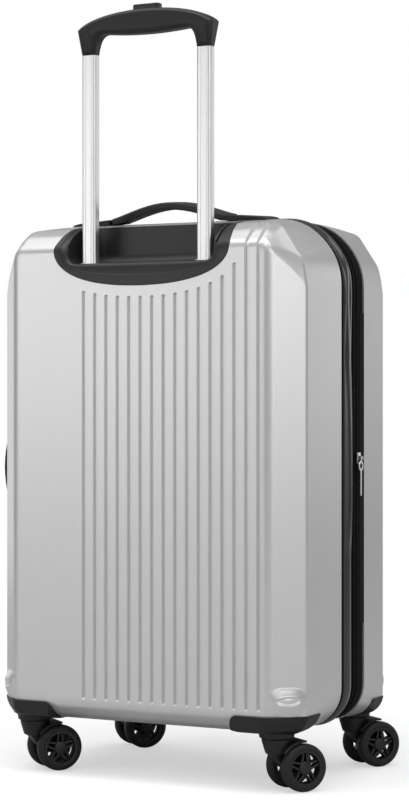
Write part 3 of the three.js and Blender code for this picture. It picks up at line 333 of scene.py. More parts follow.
def brushed_polycarbonate():
    material = new_material("brushed_silver_polycarbonate")
    place = node(material, "TexCoord").outputs["Object"]
    stretch = (per_metre(STROKE_WIDTH), per_metre(STROKE_WIDTH), per_metre(STROKE_LENGTH))
    laid = node(material, "Mapping", {"Vector": place, "Scale": stretch}).outputs[0]
    strokes = node(
        material, "TexNoise", {"Vector": laid, "Scale": 1, "Detail": 3, "Roughness": 0.6}
    ).outputs["Fac"]
    clouds = node(material, "TexNoise", {"Vector": place, "Scale": per_metre(CLOUD_SIZE), "Detail": 2})
    tone = node(material, "MapRange", {"Value": strokes, "From Min": 0.3, "From Max": 0.7})
    colour = node(material, "Mix", {"Factor": tone.outputs[0], "A": srgb("#CECECF"), "B": srgb("#D8D8D9")},
                  data_type="RGBA")
    mottled = node(
        material,
        "Mix",
        {"Factor": clouds.outputs["Fac"], "A": colour.outputs["Result"], "B": srgb("#D2D2D3")},
        data_type="RGBA",
    )
    roughness = node(
        material,
        "MapRange",
        {"Value": strokes, "From Min": 0.3, "From Max": 0.7, "To Min": 0.33, "To Max": 0.38},
    )
    bump = node(material, "Bump", {"Height": strokes, "Strength": 0.08, "Distance": 0.05 * MM})
    inputs = {
        "Base Color": mottled.outputs["Result"],
        "Metallic": 0.65,
        "Roughness": roughness.outputs[0],
        "Normal": bump.outputs[0],
        "Coat Weight": 0.1,
        "Coat Roughness": 0.3,
    }
    node(material, "OutputMaterial", {"Surface": node(material, "BsdfPrincipled", inputs).outputs[0]})
    return material


# %% [markdown]
# ## The other finishes
#
# Black plastic is rarely one black. Spark-eroded moulding grain on the bezel and housings, soft-touch
# rubber on the grip and carry handles, woven tape, ribbed webbing and a thin coat of polyurethane over
# cloth each scatter light in their own way. A single black with a different roughness for each would look
# like paint, so there are three recipes instead: grain, which is noise at its real size, cloth, which is
# two crossed sets of bands, and drawn metal, which is noise that is stretched along the draw.


# %% Grained, woven and drawn finishes
MOTTLING = 45


def grained(name, dark, light, roughness, grain, height, sockets=None):
    """A moulded or cast finish: fine grain in the surface and a faint mottling in the colour."""
    material = new_material(name)
    place = node(material, "TexCoord").outputs["Object"]
    fine = node(material, "TexNoise", {"Vector": place, "Scale": per_metre(grain), "Detail": 3})
    broad = node(material, "TexNoise", {"Vector": place, "Scale": per_metre(MOTTLING), "Detail": 2})
    colour = node(material, "Mix", {"Factor": broad.outputs["Fac"], "A": srgb(dark), "B": srgb(light)},
                  data_type="RGBA")
    bump = node(material, "Bump", {"Height": fine.outputs["Fac"], "Strength": 0.5, "Distance": height * MM})
    inputs = {
        "Base Color": colour.outputs["Result"],
        "Roughness": roughness,
        "Normal": bump.outputs[0],
        **(sockets or {}),
    }
    node(material, "OutputMaterial", {"Surface": node(material, "BsdfPrincipled", inputs).outputs[0]})
    return material


def woven(name, dark, light, pitch, gloss, slant=0.0, depth=0.15):
    """Cloth: warp and weft as two crossed sets of bands, with dark gaps between the threads.

    A wave texture's bands lie pi / 10 apart at a scale of 1, and each thread comes up every second pitch.
    """
    material = new_material(name)
    place = node(material, "TexCoord").outputs["Object"]
    laid = node(material, "Mapping", {"Vector": place, "Rotation": (0, slant, slant)})
    waves = {"Vector": laid.outputs[0], "Scale": per_metre(pitch) / 20 * math.pi, "Distortion": 0.4}
    warp, weft = (node(material, "TexWave", waves, bands_direction=way) for way in ("Z", "DIAGONAL"))
    threads = node(material, "Math", {0: warp.outputs["Fac"], 1: weft.outputs["Fac"]}, operation="MULTIPLY")
    colour = node(material, "Mix", {"Factor": threads.outputs[0], "A": srgb(dark), "B": srgb(light)},
                  data_type="RGBA")
    bump = node(material, "Bump", {"Height": threads.outputs[0], "Strength": 0.6, "Distance": depth * MM})
    inputs = {
        "Base Color": colour.outputs["Result"],
        "Roughness": 0.85,
        "Normal": bump.outputs[0],
        "Specular IOR Level": gloss,
    }
    node(material, "OutputMaterial", {"Surface": node(material, "BsdfPrincipled", inputs).outputs[0]})
    return material


def drawn_metal(name, dark, light, roughness, stroke=0.5, length=40):
    """Drawn or turned metal, with faint lines along Z."""
    material = new_material(name)
    place = node(material, "TexCoord").outputs["Object"]
    stretch = (per_metre(stroke), per_metre(stroke), per_metre(length))
    laid = node(material, "Mapping", {"Vector": place, "Scale": stretch})
    lines = node(material, "TexNoise", {"Vector": laid.outputs[0], "Scale": 1, "Detail": 2}).outputs["Fac"]
    colour = node(material, "Mix", {"Factor": lines, "A": srgb(dark), "B": srgb(light)}, data_type="RGBA")
    gloss = node(
        material, "MapRange", {"Value": lines, "To Min": roughness - 0.06, "To Max": roughness + 0.06}
    )
    bump = node(material, "Bump", {"Height": lines, "Strength": 0.15, "Distance": 0.03 * MM})
    inputs = {
        "Base Color": colour.outputs["Result"],
        "Metallic": 1.0,
        "Roughness": gloss.outputs[0],
        "Normal": bump.outputs[0],
    }
    node(material, "OutputMaterial", {"Surface": node(material, "BsdfPrincipled", inputs).outputs[0]})
    return material


# %% Make the finishes
# Each one is its name, its darkest and lightest colour, and for a grained one its roughness, its grain
# size and how deep the grain is, in millimetres.
SHELL_FINISH = brushed_polycarbonate()
# Injection-moulded in a spark-eroded mould: a dull black with a wide, soft highlight.
MOULDED_BLACK = grained(
    "moulded_black_polypropylene", "#161617", "#1E1E1F", 0.45, 0.7, 0.04, {"Specular IOR Level": 0.35}
)
# ABS from a finer mould: a satin charcoal that shows the form of the dish.
BEZEL_BLACK = grained(
    "satin_black_abs_bezel", "#1F1F20", "#272728", 0.38, 0.8, 0.03, {"Specular IOR Level": 0.4}
)
# A thin rubber skin over the plastic, warm to the hand: matt, with a faint sheen on the curves.
SOFT_TOUCH = grained(
    "soft_touch_black_rubber", "#131314", "#1A1A1B", 0.42, 0.5, 0.03, {"Specular IOR Level": 0.4}
)
# Polished in the mould, so the button reads as a separate, shinier part.
BUTTON_BLACK = grained("polished_black_abs_button", "#0F0F10", "#151516", 0.28, 0.9, 0.01)
# Cast polyurethane wears to a matt, slightly dusty black.
TYRE_BLACK = grained(
    "black_polyurethane_tyre", "#131314", "#1A1A1B", 0.55, 0.6, 0.04, {"Specular IOR Level": 0.4}
)
# Nylon moulds crisply, so the thin spokes keep a clear edge highlight.
RIM_BLACK = grained("black_nylon_rim", "#0E0E0F", "#161617", 0.42, 0.8, 0.03)
# Cloth under a film of polyurethane: the film is glossy, and the cloth's grain still shows through it.
COATED = grained(
    "polyurethane_coated_band", "#111112", "#1A1A1B", 0.34, 1.4, 0.05,
    {"Coat Weight": 1.0, "Coat Roughness": 0.16},
)
# Extruded vinyl cord: a smooth charcoal line beside the black tape.
PIPING_GREY = grained("extruded_grey_piping", "#1E1E1F", "#262627", 0.4, 0.9, 0.03)
# Zip tape is woven of half-millimetre yarn, drawn here nearly twice as coarse so that it shows.
TAPE_BLACK = woven("woven_polyester_zip_tape", "#060606", "#151516", 0.9, 0.15)
# The teeth are one drawn nylon thread, so they are smoother than the tape they lie on.
COIL_BLACK = grained("nylon_zip_coil", "#0A0A0B", "#121213", 0.35, 0.5, 0.02, {"Specular IOR Level": 0.3})
# Strap webbing has thick ribs that can be felt and seen.
WEBBING = woven("ribbed_nylon_webbing", "#0C0C0D", "#202021", 1.6, 0.2, depth=0.3)
# Lining cloth is a thin plain weave, drawn coarser than it is, and low in contrast against stripes.
LINING = woven("grey_polyester_lining", "#6C6D71", "#87888D", 1.1, 0.2, slant=0.7)
# The hinge and the gusset are a tight weave with a coated inside, nearly black.
HINGE_CLOTH = woven("coated_hinge_cloth", "#0C0C0C", "#1B1B1C", 1.2, 0.2, slant=0.7)
# The tubes are drawn, brushed and clear anodised: bright, with a broad highlight along their length.
ALUMINIUM = drawn_metal("anodised_aluminium_tube", "#E2E2E3", "#EEEEEF", 0.38)
# Sliders and pulls are cast zinc with a bright plating that softens every edge.
PLATED_ZINC = grained("plated_zinc_casting", "#D2D3D5", "#DEDFE1", 0.28, 1.5, 0.01, {"Metallic": 1.0})
# Axles are bar steel, turned and left plain.
STEEL = drawn_metal("turned_steel_axle", "#8E8F92", "#A3A4A7", 0.35)
print("finishes", len(bpy.data.materials))

# %% [markdown]
# ## The shell's form
#
# Each shell is a flat panel with a broad slanted bevel round it, then walls that flare out a little to
# the seam. At every depth its outline is the same kind of shape: straight sides, round bottom corners, and
# top corners that are cut off at a slant with softened ends. A bevelled block couldn't give outlines that
# change this much from back to front, so the shell is a stack of rings.
#
# A ring is written as eleven numbers, which the next cell lists. The crease at each ring is softened by
# walking a curve past it, and the walk is then cut into even steps, so that the skin has even faces.

# %% Rings of the shell
# Depth, side, top and bottom insets, then the top corner: where the chamfer meets the side (in, down) and
# the top (in), how early the curves into it begin (down, in), how far they run into it, and last the
# bottom corner's radius.
PANEL = np.array([0, 34, 29, 18, 0, 4, 4, 4, 4, 1, 8.0])
PANEL_INSIDE = PANEL + np.array([0, 16, 16, 16, 0, 0, 0, 0, 0, 0, 0])
BEVEL_MIDDLE = np.array([14.25, 20, 15.5, 6.6, 1.5, 25, 17, 12, 7, 0.6, 15.0])
BEVEL = np.array([28.5, 6, 8, 0.8, 3, 40, 30, 25, 10, 0.3, 22.0])
FLARE = np.array([60, 3, 3, 0.4, 1.5, 41, 36, 26, 19, 0.65, 30.0])
SEAM = np.array([0, 0, 0, 0, 0, 41, 41, 27, 28, 1, 40.0])
CREASE_REACHES = (6, 5, 2, 8)
OFFSET_SHARE = 0.586
WALL = 3.2


def curve_past(start, knee, end, steps):
    """Points on the soft curve from start to end that turns at the knee."""
    return [
        (1 - t) ** 2 * start + 2 * t * (1 - t) * knee + t**2 * end for t in np.linspace(0, 1, steps + 1)
    ]


def case_ring(y, spec, inset=0, steps=8):
    """Points round the case at one depth: chamfered top corners with soft ends, round bottom corners."""
    _, side, top, bottom, side_in, side_down, top_in, lead_down, lead_in, softness, low_radius = spec
    half, low, high = HALF_WIDTH - side - inset, BOTTOM + bottom + inset, TOP - top - inset
    shrink = OFFSET_SHARE * inset
    on_side = np.array([half - side_in, high - side_down + shrink])
    on_top = np.array([half - top_in + shrink, high])
    reach = softness / 2 * (on_top - on_side)
    corner = curve_past(np.array([half, on_side[1] - lead_down]), on_side, on_side + reach, steps)
    corner += curve_past(on_top - reach, on_top, np.array([on_top[0] - lead_in, high]), steps)
    radius = max(low_radius - inset, 1)
    foot = [
        (half - radius + radius * math.cos(a), low + radius - radius * math.sin(a))
        for a in np.linspace(math.pi / 2, 0, 13)
    ]
    right = foot + [tuple(point) for point in corner]
    return [(x, y, z) for x, z in right] + [(-x, y, z) for x, z in right[::-1]]


def softened(rings, reaches, steps=5):
    """The path through the rings, with each inner crease turned into a curve."""
    path = [rings[0]]
    for before, corner, after, reach in zip(rings, rings[1:], rings[2:], reaches):
        start, end = (
            blend(corner, other, min(0.48, reach / np.hypot(*(other - corner)[:2])))
            for other in (before, after)
        )
        path += curve_past(start, corner, end, steps)
    return [*path, rings[-1]]


def evenly(path, step):
    """The path with points added so that none lie further apart than step."""
    finer = [path[0]]
    for before, after in zip(path, path[1:]):
        pieces = max(1, math.ceil(np.hypot(*(after - before)[:2]) / step))
        finer += [blend(before, after, (i + 1) / pieces) for i in range(pieces)]
    return finer


def shell_path(shell_depth):
    seam = np.array([shell_depth, *SEAM[1:]])
    return softened([PANEL_INSIDE, PANEL, BEVEL_MIDDLE, BEVEL, FLARE, seam], CREASE_REACHES)


def inset_ring(spec, end, inset):
    """A ring of the shell, moved inwards: along the depth on the panel, and sideways on the walls."""
    towards_side = min(1, spec[0] / BEVEL[0])
    depth = spec[0] + inset * (1 - towards_side)
    return depth, case_ring(end * (BACK - depth), spec, inset * min(1, towards_side + 0.4))


def shell_block(shell_depth, end, inset=0, step=2.5, overrun=0, undercut=1.0):
    """The solid that a shell's outside encloses. A positive inset gives its hollow, and a smaller
    undercut lets its lower edge hang down more squarely."""
    path = [spec * np.array([1, 1, 1, undercut, 1, 1, 1, 1, 1, 1, 1])
            for spec in evenly(shell_path(shell_depth), step)]
    rings = [inset_ring(spec, end, inset)[1] for spec in path]
    rings[-1] = [(x, y - end * overrun, z) for x, y, z in rings[-1]]
    return skin(rings)


print("rings in the rear shell", len(evenly(shell_path(BACK - REAR_RIM), 2.5)))

# %% [markdown]
# ## Pads above the casters
#
# Above each caster the bevel is pressed out into a pad with an oval dimple, which stiffens the corner that
# takes the most knocks. The pad is part of the same sheet, so no piece is added: its vertices are moved
# outwards, more in the middle and less towards its rim. The bevel's faces are too large for that, so rows
# of edges are cut in first, and only where the pad will be.

# %% Pads above the casters
PAD_LIFT = 35
PAD_RISE = 5.2
PAD_HALF = 20.2
PAD_ABOVE, PAD_BELOW = 13, 18
PAD_REACH = 8
PAD_ROW, PAD_COLUMN = 0.7, 1
DIMPLE = (13.4, 4.6)
DIMPLE_DEPTH = 1.3


def pad_lift(across, up):
    """How far the sheet stands out at a place on a pad: a flat-topped mound with an oval dimple."""
    outwards = (across / PAD_HALF) ** 3 + (up / PAD_ABOVE if up > 0 else -up / PAD_BELOW) ** 2
    oval = math.hypot(across / DIMPLE[0], up / DIMPLE[1])
    return PAD_RISE * max(0, 1 - outwards) ** 1.5 - DIMPLE_DEPTH * step_down(oval, 0.6, 1.05)


def raise_pads(bm, end):
    """Lifts a pad, with its oval dimple, out of each bevel above a caster."""
    height = BOTTOM + PAD_LIFT
    heights = np.arange(height - PAD_BELOW, height + PAD_ABOVE, PAD_ROW)
    reach = (PANEL[1] + BEVEL[1]) / 2
    for side in (-1, 1):
        centre = Vector((side * (HALF_WIDTH - reach), end * (BACK - BEVEL[0] / 2), height))
        outward = Vector((side, end, 0)).normalized()
        along = Vector((side, -end, 0)).normalized()

        def on_pad(point):
            offset = point - centre
            return (
                abs(offset.dot(outward)) < PAD_REACH
                and abs(offset.dot(along)) < PAD_HALF + 1
                and -PAD_BELOW < offset.z < PAD_ABOVE
            )

        slice_rows(bm, (heights[0], heights[-1]), (0, 0, 1))
        rows = [(Vector((0, 0, z)), Vector((0, 0, 1))) for z in heights[1:-1]]
        columns = [
            (centre + along * across, along) for across in np.arange(-PAD_HALF, PAD_HALF + 1, PAD_COLUMN)
        ]
        for place, normal in rows + columns:
            faces = [face for face in bm.faces if on_pad(face.calc_center_median())]
            edges = {edge for face in faces for edge in face.edges}
            verts = {vert for face in faces for vert in face.verts}
            bmesh.ops.bisect_plane(bm, geom=[*verts, *edges, *faces], plane_co=place, plane_no=normal)
        for vert in bm.verts:
            if on_pad(vert.co):
                offset = vert.co - centre
                vert.co += outward * pad_lift(abs(offset.dot(along)), offset.z)


print("pads", 2 * PAD_HALF, "mm long, their middle", BOTTOM + PAD_LIFT, "mm up")

# %% [markdown]
# ## Walking over the top edge
#
# The long grooves and the bezel run up the flat back and on over the bevel. They are drawn flat, as a
# pattern maker would, and then laid on the shell. The table below does the laying: it turns a running
# height along the middle of the back into a depth and a height.

# %% Walking over the top edge of the shell
SLOPE_REACH = 1.5
TOP_PATH = [(spec[0], TOP - spec[2]) for spec in evenly(shell_path(BACK - REAR_RIM), 1.5)]
TOP_DEPTHS, TOP_HEIGHTS = zip(*TOP_PATH)
TOP_RUN = [TOP_HEIGHTS[0]]
for (depth_a, z_a), (depth_b, z_b) in zip(TOP_PATH, TOP_PATH[1:]):
    TOP_RUN.append(TOP_RUN[-1] + math.hypot(depth_b - depth_a, z_b - z_a))


def over_the_top(run):
    """Depth, height and the slope's angle at a running height up the middle of the back."""
    if run <= TOP_RUN[0]:
        return 0.0, run, 0.0
    around = (run, run + SLOPE_REACH, run - SLOPE_REACH)
    depth, depth_ahead, depth_behind = np.interp(around, TOP_RUN, TOP_DEPTHS)
    z, z_ahead, z_behind = np.interp(around, TOP_RUN, TOP_HEIGHTS)
    return float(depth), float(z), math.atan2(depth_ahead - depth_behind, z_ahead - z_behind)


def wrap(bm, end=1):
    """Lays a flat shape, drawn with Y as its lift and Z as its running height, on the shell's back."""
    for vert in bm.verts:
        depth, z, slope = over_the_top(vert.co.z)
        lift = vert.co.y
        vert.co.y = end * (BACK - depth + lift * math.cos(slope))
        vert.co.z = z + lift * math.sin(slope)
    return bm


print("running height at the seam", round(TOP_RUN[-1], 1))

# %% [markdown]
# ## Grooves
#
# Sixteen upright grooves are pressed into the back panel. They stiffen it, and they hide scuffs. A groove with
# round ends is a spun dish that is stretched: a profile is turned once round, and the upper half is then
# lifted by the groove's length. Each one is cut out of the block, so its shoulders catch the light as the
# pressed sheet's do. Bump in the finish would be cheaper, but it would vanish from the mesh.

# %% Grooves
GROOVE_PITCH = 13.14
GROOVE_COUNT = 16
FIRST_GROOVE = 62.5
GROOVE_HALF = 2.6
GROOVE_DEPTH = 2.8
GROOVE_PROFILE = ((0, 1), (0.22, 0.98), (0.42, 0.84), (0.6, 0.52), (0.76, 0.22), (0.88, 0.07), (1, 0))
GROOVE_FOOT = 82.3
GROOVE_MARGIN = 12.5
OVER_TOP_RUN = TOP_RUN[-1] - 2
CUT_START, CUTTER_TOP = 0.25, 1.5


def groove(x, low, high):
    """The tool that presses one groove: a spun dish, stretched from low to high."""
    valley = [
        Vector((GROOVE_HALF * across, CUT_START - (GROOVE_DEPTH + CUT_START) * down, 0))
        for across, down in GROOVE_PROFILE
    ]
    steps = 18
    profile = [*valley, Vector((GROOVE_HALF, CUTTER_TOP, 0)), Vector((0, CUTTER_TOP, 0))]
    bm = turned(profile, (0, 1, 0), steps)
    half_step = Matrix.Rotation(math.pi / steps, 3, "Y")
    bmesh.ops.rotate(bm, verts=bm.verts, cent=(0, 0, 0), matrix=half_step)
    for vert in bm.verts:
        if vert.co.z > 0:
            vert.co.z += high - low
    bmesh.ops.translate(bm, verts=bm.verts, vec=(x, 0, low))
    if high > TOP_RUN[0]:
        slice_rows(bm, np.arange(TOP_RUN[0] - 2, high, 2.5), (0, 0, 1))
    return bm


print("grooves", GROOVE_COUNT, "every", GROOVE_PITCH, "mm")

# %% [markdown]
# ## The bezel's outline
#
# The bezel is a U-shaped moulding that the handle sinks into, and it narrows from its lip to its throat.
# Both outlines start at the tip of one arm, run down it, round the floor and up the other arm, with the
# same number of points, so a ring between the two is a simple blend. The lip's bend is one Bezier curve,
# as it would be in the maker's drawing, and the throat's is an arc.

# %% Outlines of the lip and the throat
BEZEL_FLOOR = spot("handle_bezel")[0].z
LIP_LEFT, LIP_RIGHT = -spot("handle_bezel")[0].x, spot("handle_bezel")[1].x
THROAT_HALF, THROAT_FLOOR, THROAT_RADIUS = 83.5, 518.3, 10
RECESS_DEPTH = 48
SHOULDER = TOP - PANEL[2]
ARM_RUN = np.interp(RECESS_DEPTH, TOP_DEPTHS, TOP_RUN)
ARM_LEAN = 0.17
ARM_POINTS, BEND_POINTS = 14, 26


def resampled(points, count):
    """The same line with points at even steps along it."""
    points = np.array(points)
    run = np.concatenate([[0], np.cumsum(np.linalg.norm(np.diff(points, axis=0), axis=1))])
    at = np.linspace(0, run[-1], count)
    return [np.array([np.interp(s, run, points[:, 0]), np.interp(s, run, points[:, 1])]) for s in at]


def bezier(knots, count):
    """Points (x, z) on the cubic curve through four knots."""
    return [tuple(point)[:2] for point in interpolate_bezier(*(Vector((*k, 0)) for k in knots), count)]


def lip_bend(reach):
    tuck = 0.6 * (SHOULDER - BEZEL_FLOOR)
    knots = ((reach, SHOULDER), (reach, SHOULDER - tuck), (0.67 * reach, BEZEL_FLOOR), (0, BEZEL_FLOOR))
    return resampled(bezier(knots, 60), BEND_POINTS)


def throat_bend():
    turn = [
        (THROAT_HALF - THROAT_RADIUS * (1 - math.cos(a)), THROAT_FLOOR + THROAT_RADIUS * (1 - math.sin(a)))
        for a in np.linspace(0, math.pi / 2, 12)
    ]
    return resampled([(THROAT_HALF, SHOULDER), *turn, (0, THROAT_FLOOR)], BEND_POINTS)


def arm(reach):
    lean = ARM_LEAN * (ARM_RUN - SHOULDER)
    return resampled([(reach - lean, ARM_RUN), (reach, SHOULDER)], ARM_POINTS)[:-1]


def bezel_outline(share):
    """Points (x, running height) round the U. Share 0 is the lip's outer edge and 1 is the throat."""
    throat = [np.array([THROAT_HALF, p[1]]) for p in arm(THROAT_HALF)] + throat_bend()
    left, right = (
        [blend(a, b, share) for a, b in zip(arm(reach) + lip_bend(reach), throat)]
        for reach in (LIP_LEFT, LIP_RIGHT)
    )
    return [np.array([-x, s]) for x, s in left] + [np.array([x, s]) for x, s in right[-2::-1]]


print("points round the bezel", len(bezel_outline(0)))

# %% [markdown]
# ## The two shells
#
# A real shell is one warm sheet, sucked over a mould. Here a shell starts as the solid block inside its
# outer skin. The pads are raised and the grooves cut, a second, smaller block takes its inside out, and on
# the rear one the bezel's opening is cut last, so that its edge shows the thickness of the sheet. The
# Boolean leaves clean edges where a groove runs out under the bezel. Each upright strip of the panel gets
# its own faces between two grooves, because a Boolean joins badly on one very large face.

# %% Make the two shells
RIM_GAP = 1.4
OPENING_SHARE, OPENING_SINK, OPENING_LIFT = 0.02, -11.3, 4.7


def groove_tops():
    """Where each groove behind ends: short of the bezel, or far over the top."""
    outline = bezel_outline(0)
    tops = {}
    for index in range(GROOVE_COUNT):
        x = FIRST_GROOVE - GROOVE_PITCH * index
        reaches = [
            s - math.sqrt(GROOVE_MARGIN**2 - (px - x) ** 2)
            for px, s in outline
            if abs(px - x) < GROOVE_MARGIN
        ]
        tops[x] = min(reaches, default=OVER_TOP_RUN)
    return tops


def grooved_block(end, tops):
    """One shell with its pads and grooves, from the groove tops by their place across."""
    depth = BACK - REAR_RIM - RIM_GAP if end > 0 else BACK + FRONT_RIM
    block = shell_block(depth, end)
    raise_pads(block, end)
    between = sorted(tops)
    columns = [(a + b) / 2 for a, b in zip(between, between[1:])]
    slice_rows(block, [between[0] - GROOVE_PITCH / 2, *columns, between[-1] + GROOVE_PITCH / 2], (1, 0, 0))
    shell = as_object(block)
    cutters = [wrap(groove(x, GROOVE_FOOT, high), end) for x, high in tops.items()]
    combine(shell, "DIFFERENCE", as_object(*cutters))
    return combine(shell, "DIFFERENCE", as_object(shell_block(depth, end, inset=WALL, overrun=5)))


def bezel_opening():
    """The block over the bezel's outline, laid on the shell's back."""
    outline = bezel_outline(OPENING_SHARE)
    bm = skin([[(x, lift, s) for x, s in outline] for lift in (OPENING_SINK, OPENING_LIFT)])
    slice_rows(bm, np.arange(TOP_RUN[0], ARM_RUN, 2.5), (0, 0, 1))
    return as_object(wrap(without_large_faces(bm)))


rear_shell = grooved_block(1, groove_tops())
combine(rear_shell, "DIFFERENCE", bezel_opening())
settle(rear_shell, "rear_shell_skin", SHELL_FINISH, "rear", ["rear_shell"])

# Known fault: on the front shell this cut leaves no groove, so the front panel comes out smooth.
middle_index = (GROOVE_COUNT - 1) / 2
front_tops = {GROOVE_PITCH * (i - middle_index): SHOULDER - 9 for i in range(GROOVE_COUNT)}
front_shell = grooved_block(-1, front_tops)
settle(front_shell, "front_shell_skin", SHELL_FINISH, "front", ["front_shell"])

# %% [markdown]
# ## The handle bezel
#
# The bezel is one black moulding: a lip that covers the cut edge of the shell, and a tub behind it that
# takes the whole grip when the handle is down. The lip is a strip of U-shaped rings from its outer edge to
# the throat: proud at the rim, then dished inwards, with one fine step where the satin rim meets the dish.
# The strip is laid over the shell's back like the grooves were. The tub is a rounded box less a smaller
# one, with a ramp at its far side, kept inside the shell's own form, and each tube gets a hole in it.

# %% The bezel's lip
LIP_WIDTH = 19
# Pairs of how far in from the outer edge and how far out of the shell, once round the lip's section.
LIP_SECTION = (
    (0, -2.6), (0, 0.1), (0.25, 0.45), (0.8, 0.6), (2.4, 0.6), (5.5, 0.45), (8.6, 0.1), (9.1, -0.55),
    (10.2, -0.65), (13, -1.1), (15.5, -1.8), (17.4, -2.8), (18.5, -4.2), (LIP_WIDTH, -6.2),
    (LIP_WIDTH, -9), (16.5, -9), (15.8, -4.6), (9, -3.1),
)


def bezel_lip():
    rings = [[(x, lift, s) for x, s in bezel_outline(inset / LIP_WIDTH)] for inset, lift in LIP_SECTION]
    sections = [list(points) for points in zip(*rings)]
    return as_object(wrap(without_large_faces(skin(sections))))


print("points round the lip's section", len(LIP_SECTION))


# %% Recess and tube holes
def recess_ring(y, half, low, high, low_radius, high_radius, segments=12):
    """Points round a rounded rectangle that faces Y."""
    corners = (
        (half - high_radius, high - high_radius, high_radius),
        (high_radius - half, high - high_radius, high_radius),
        (low_radius - half, low + low_radius, low_radius),
        (half - low_radius, low + low_radius, low_radius),
    )
    return [
        (x + radius * math.cos(turn * math.pi / 2), y, z + radius * math.sin(turn * math.pi / 2))
        for quarter, (x, z, radius) in enumerate(corners)
        for turn in np.linspace(quarter, quarter + 1, segments + 1)
    ]


def recess_box(half, floor, near, far, radius, ramp=0):
    """A box with rounded lower edges, open upwards past the shell, and a rounded ramp at its far side."""
    depths = [near, far - ramp, *(far - ramp + ramp * math.sin(a) for a in np.linspace(0.2, 1.5, 6))]
    rings = []
    for depth in depths if ramp else (near, far):
        sunk = max(0, depth - (far - ramp)) / ramp if ramp else 0
        lift = ramp * (1 - math.sqrt(max(0, 1 - sunk**2)))
        rings.append(recess_ring(BACK - depth, half, floor + lift, TOP + 12, radius, 1))
    return skin(rings)


def rounded_rectangle(width, depth, radius, segments=4):
    """Points (x, y) round a rounded rectangle, one quarter after the other."""
    return [
        (sx * (width / 2 - radius) + radius * math.cos(turn * math.pi / 2),
         sy * (depth / 2 - radius) + radius * math.sin(turn * math.pi / 2))
        for quarter, (sx, sy) in enumerate(((1, 1), (-1, 1), (-1, -1), (1, -1)))
        for turn in np.linspace(quarter, quarter + 1, segments + 1)
    ]


def upright(outline, x, low, high):
    """A block along Z from an outline that is centred on a tube's axis, at x across the case."""
    points = [(x + px, TUBE_Y + py, low) for px, py in outline]
    return prism(points, Vector((0, 0, high - low)))


TUB_WALL = 2.5
TUBE_HOLE = rounded_rectangle(19.6, 13.6, 3)
tub = as_object(
    recess_box(THROAT_HALF + TUB_WALL, THROAT_FLOOR - TUB_WALL, 5, RECESS_DEPTH, THROAT_RADIUS + TUB_WALL)
)
combine(tub, "INTERSECT", as_object(shell_block(BACK - REAR_RIM, 1, inset=0.6)))
hollow = recess_box(THROAT_HALF, THROAT_FLOOR, 3, RECESS_DEPTH - TUB_WALL, THROAT_RADIUS, ramp=12)
combine(tub, "DIFFERENCE", as_object(hollow))
bezel = combine(bezel_lip(), "UNION", tub)
holes = [upright(TUBE_HOLE, side * TUBE_X, THROAT_FLOOR - 6, THROAT_FLOOR + 9) for side in (-1, 1)]
combine(bezel, "DIFFERENCE", as_object(*holes))
settle(bezel, "handle_bezel_moulding", BEZEL_BLACK, "rear", ["handle_bezel"])

# %% [markdown]
# ## The band between the shells
#
# Round the case runs a layered band, all of it sewn: a charcoal piping bead in a black tape, a glossy
# coated band that bulges a little, the rear zip tape with its stitched ridge, the front tape, and the wide
# main tape. Each is a closed profile of depth and inset that runs round the case's own outline, so the
# layers meet each other and the shells all the way round. A curve with a bevel would be quicker, but its
# profile turns with the curve, and these have to lie square to the case.
#
# The coated band isn't quite taut. On the long sides its crown wanders to and fro across the band, which
# is what makes the highlight on it swell and shrink.

# %% Piping and coated band
def resampled_loop(points, pitch=None, count=None):
    """Points at even steps round a closed line: a given count of them, or an even count near a pitch."""
    closed = np.array([*points, points[0]])
    run = np.concatenate([[0], np.cumsum(np.linalg.norm(np.diff(closed, axis=0), axis=1))])
    count = count or 2 * round(run[-1] / pitch / 2)
    at = np.linspace(0, run[-1], count, endpoint=False)
    return [tuple(np.interp(s, run, closed[:, axis]) for axis in range(3)) for s in at]


def hoop(profile):
    """A band round the case. The profile is a closed line of (depth from the back, inset) points."""
    return as_object(skin([case_ring(BACK - depth, SEAM, inset) for depth, inset in profile], closed=True))


def bead(centre, inset, radius, steps=10):
    """A round bead for the outside of a profile, from its near side to its far side."""
    return [
        (centre - radius * math.cos(a), inset - radius * math.sin(a)) for a in np.linspace(0, math.pi, steps)
    ]


piping_tape = hoop([(95, 3.6), (95, 2.6), (99, 2.4), (102.3, 2.4), (102.3, 3.6)])
settle(piping_tape, "rear_piping_tape", TAPE_BLACK, "rear")
piping = hoop([(100.4, 2.9), *bead(101.2, 0.9, 0.8), (102, 2.9)])
settle(piping, "rear_piping_bead", PIPING_GREY, "rear", ["rear_piping"])

BAND_START, BAND_WIDTH, BAND_BULGE = 103, 16, 3
BAND_INSET, BAND_BACK = 1.2, ((119.4, 2.4), (121.2, 2.4), (121.2, 3.2), (102.6, 3.2))
BAND_POINTS = 320
SIDE_REACH = 6
# Where the crown wanders: at each height, a power that pushes it to one edge (over 1) or the other.
SLACK_HEIGHTS = (150, 230, 278, 330, 381, 432, 484, 530)
SLACK_SKEWS = (1.0, 1.0, 3.2, 3.0, 2.0, 0.85, 0.45, 0.8)


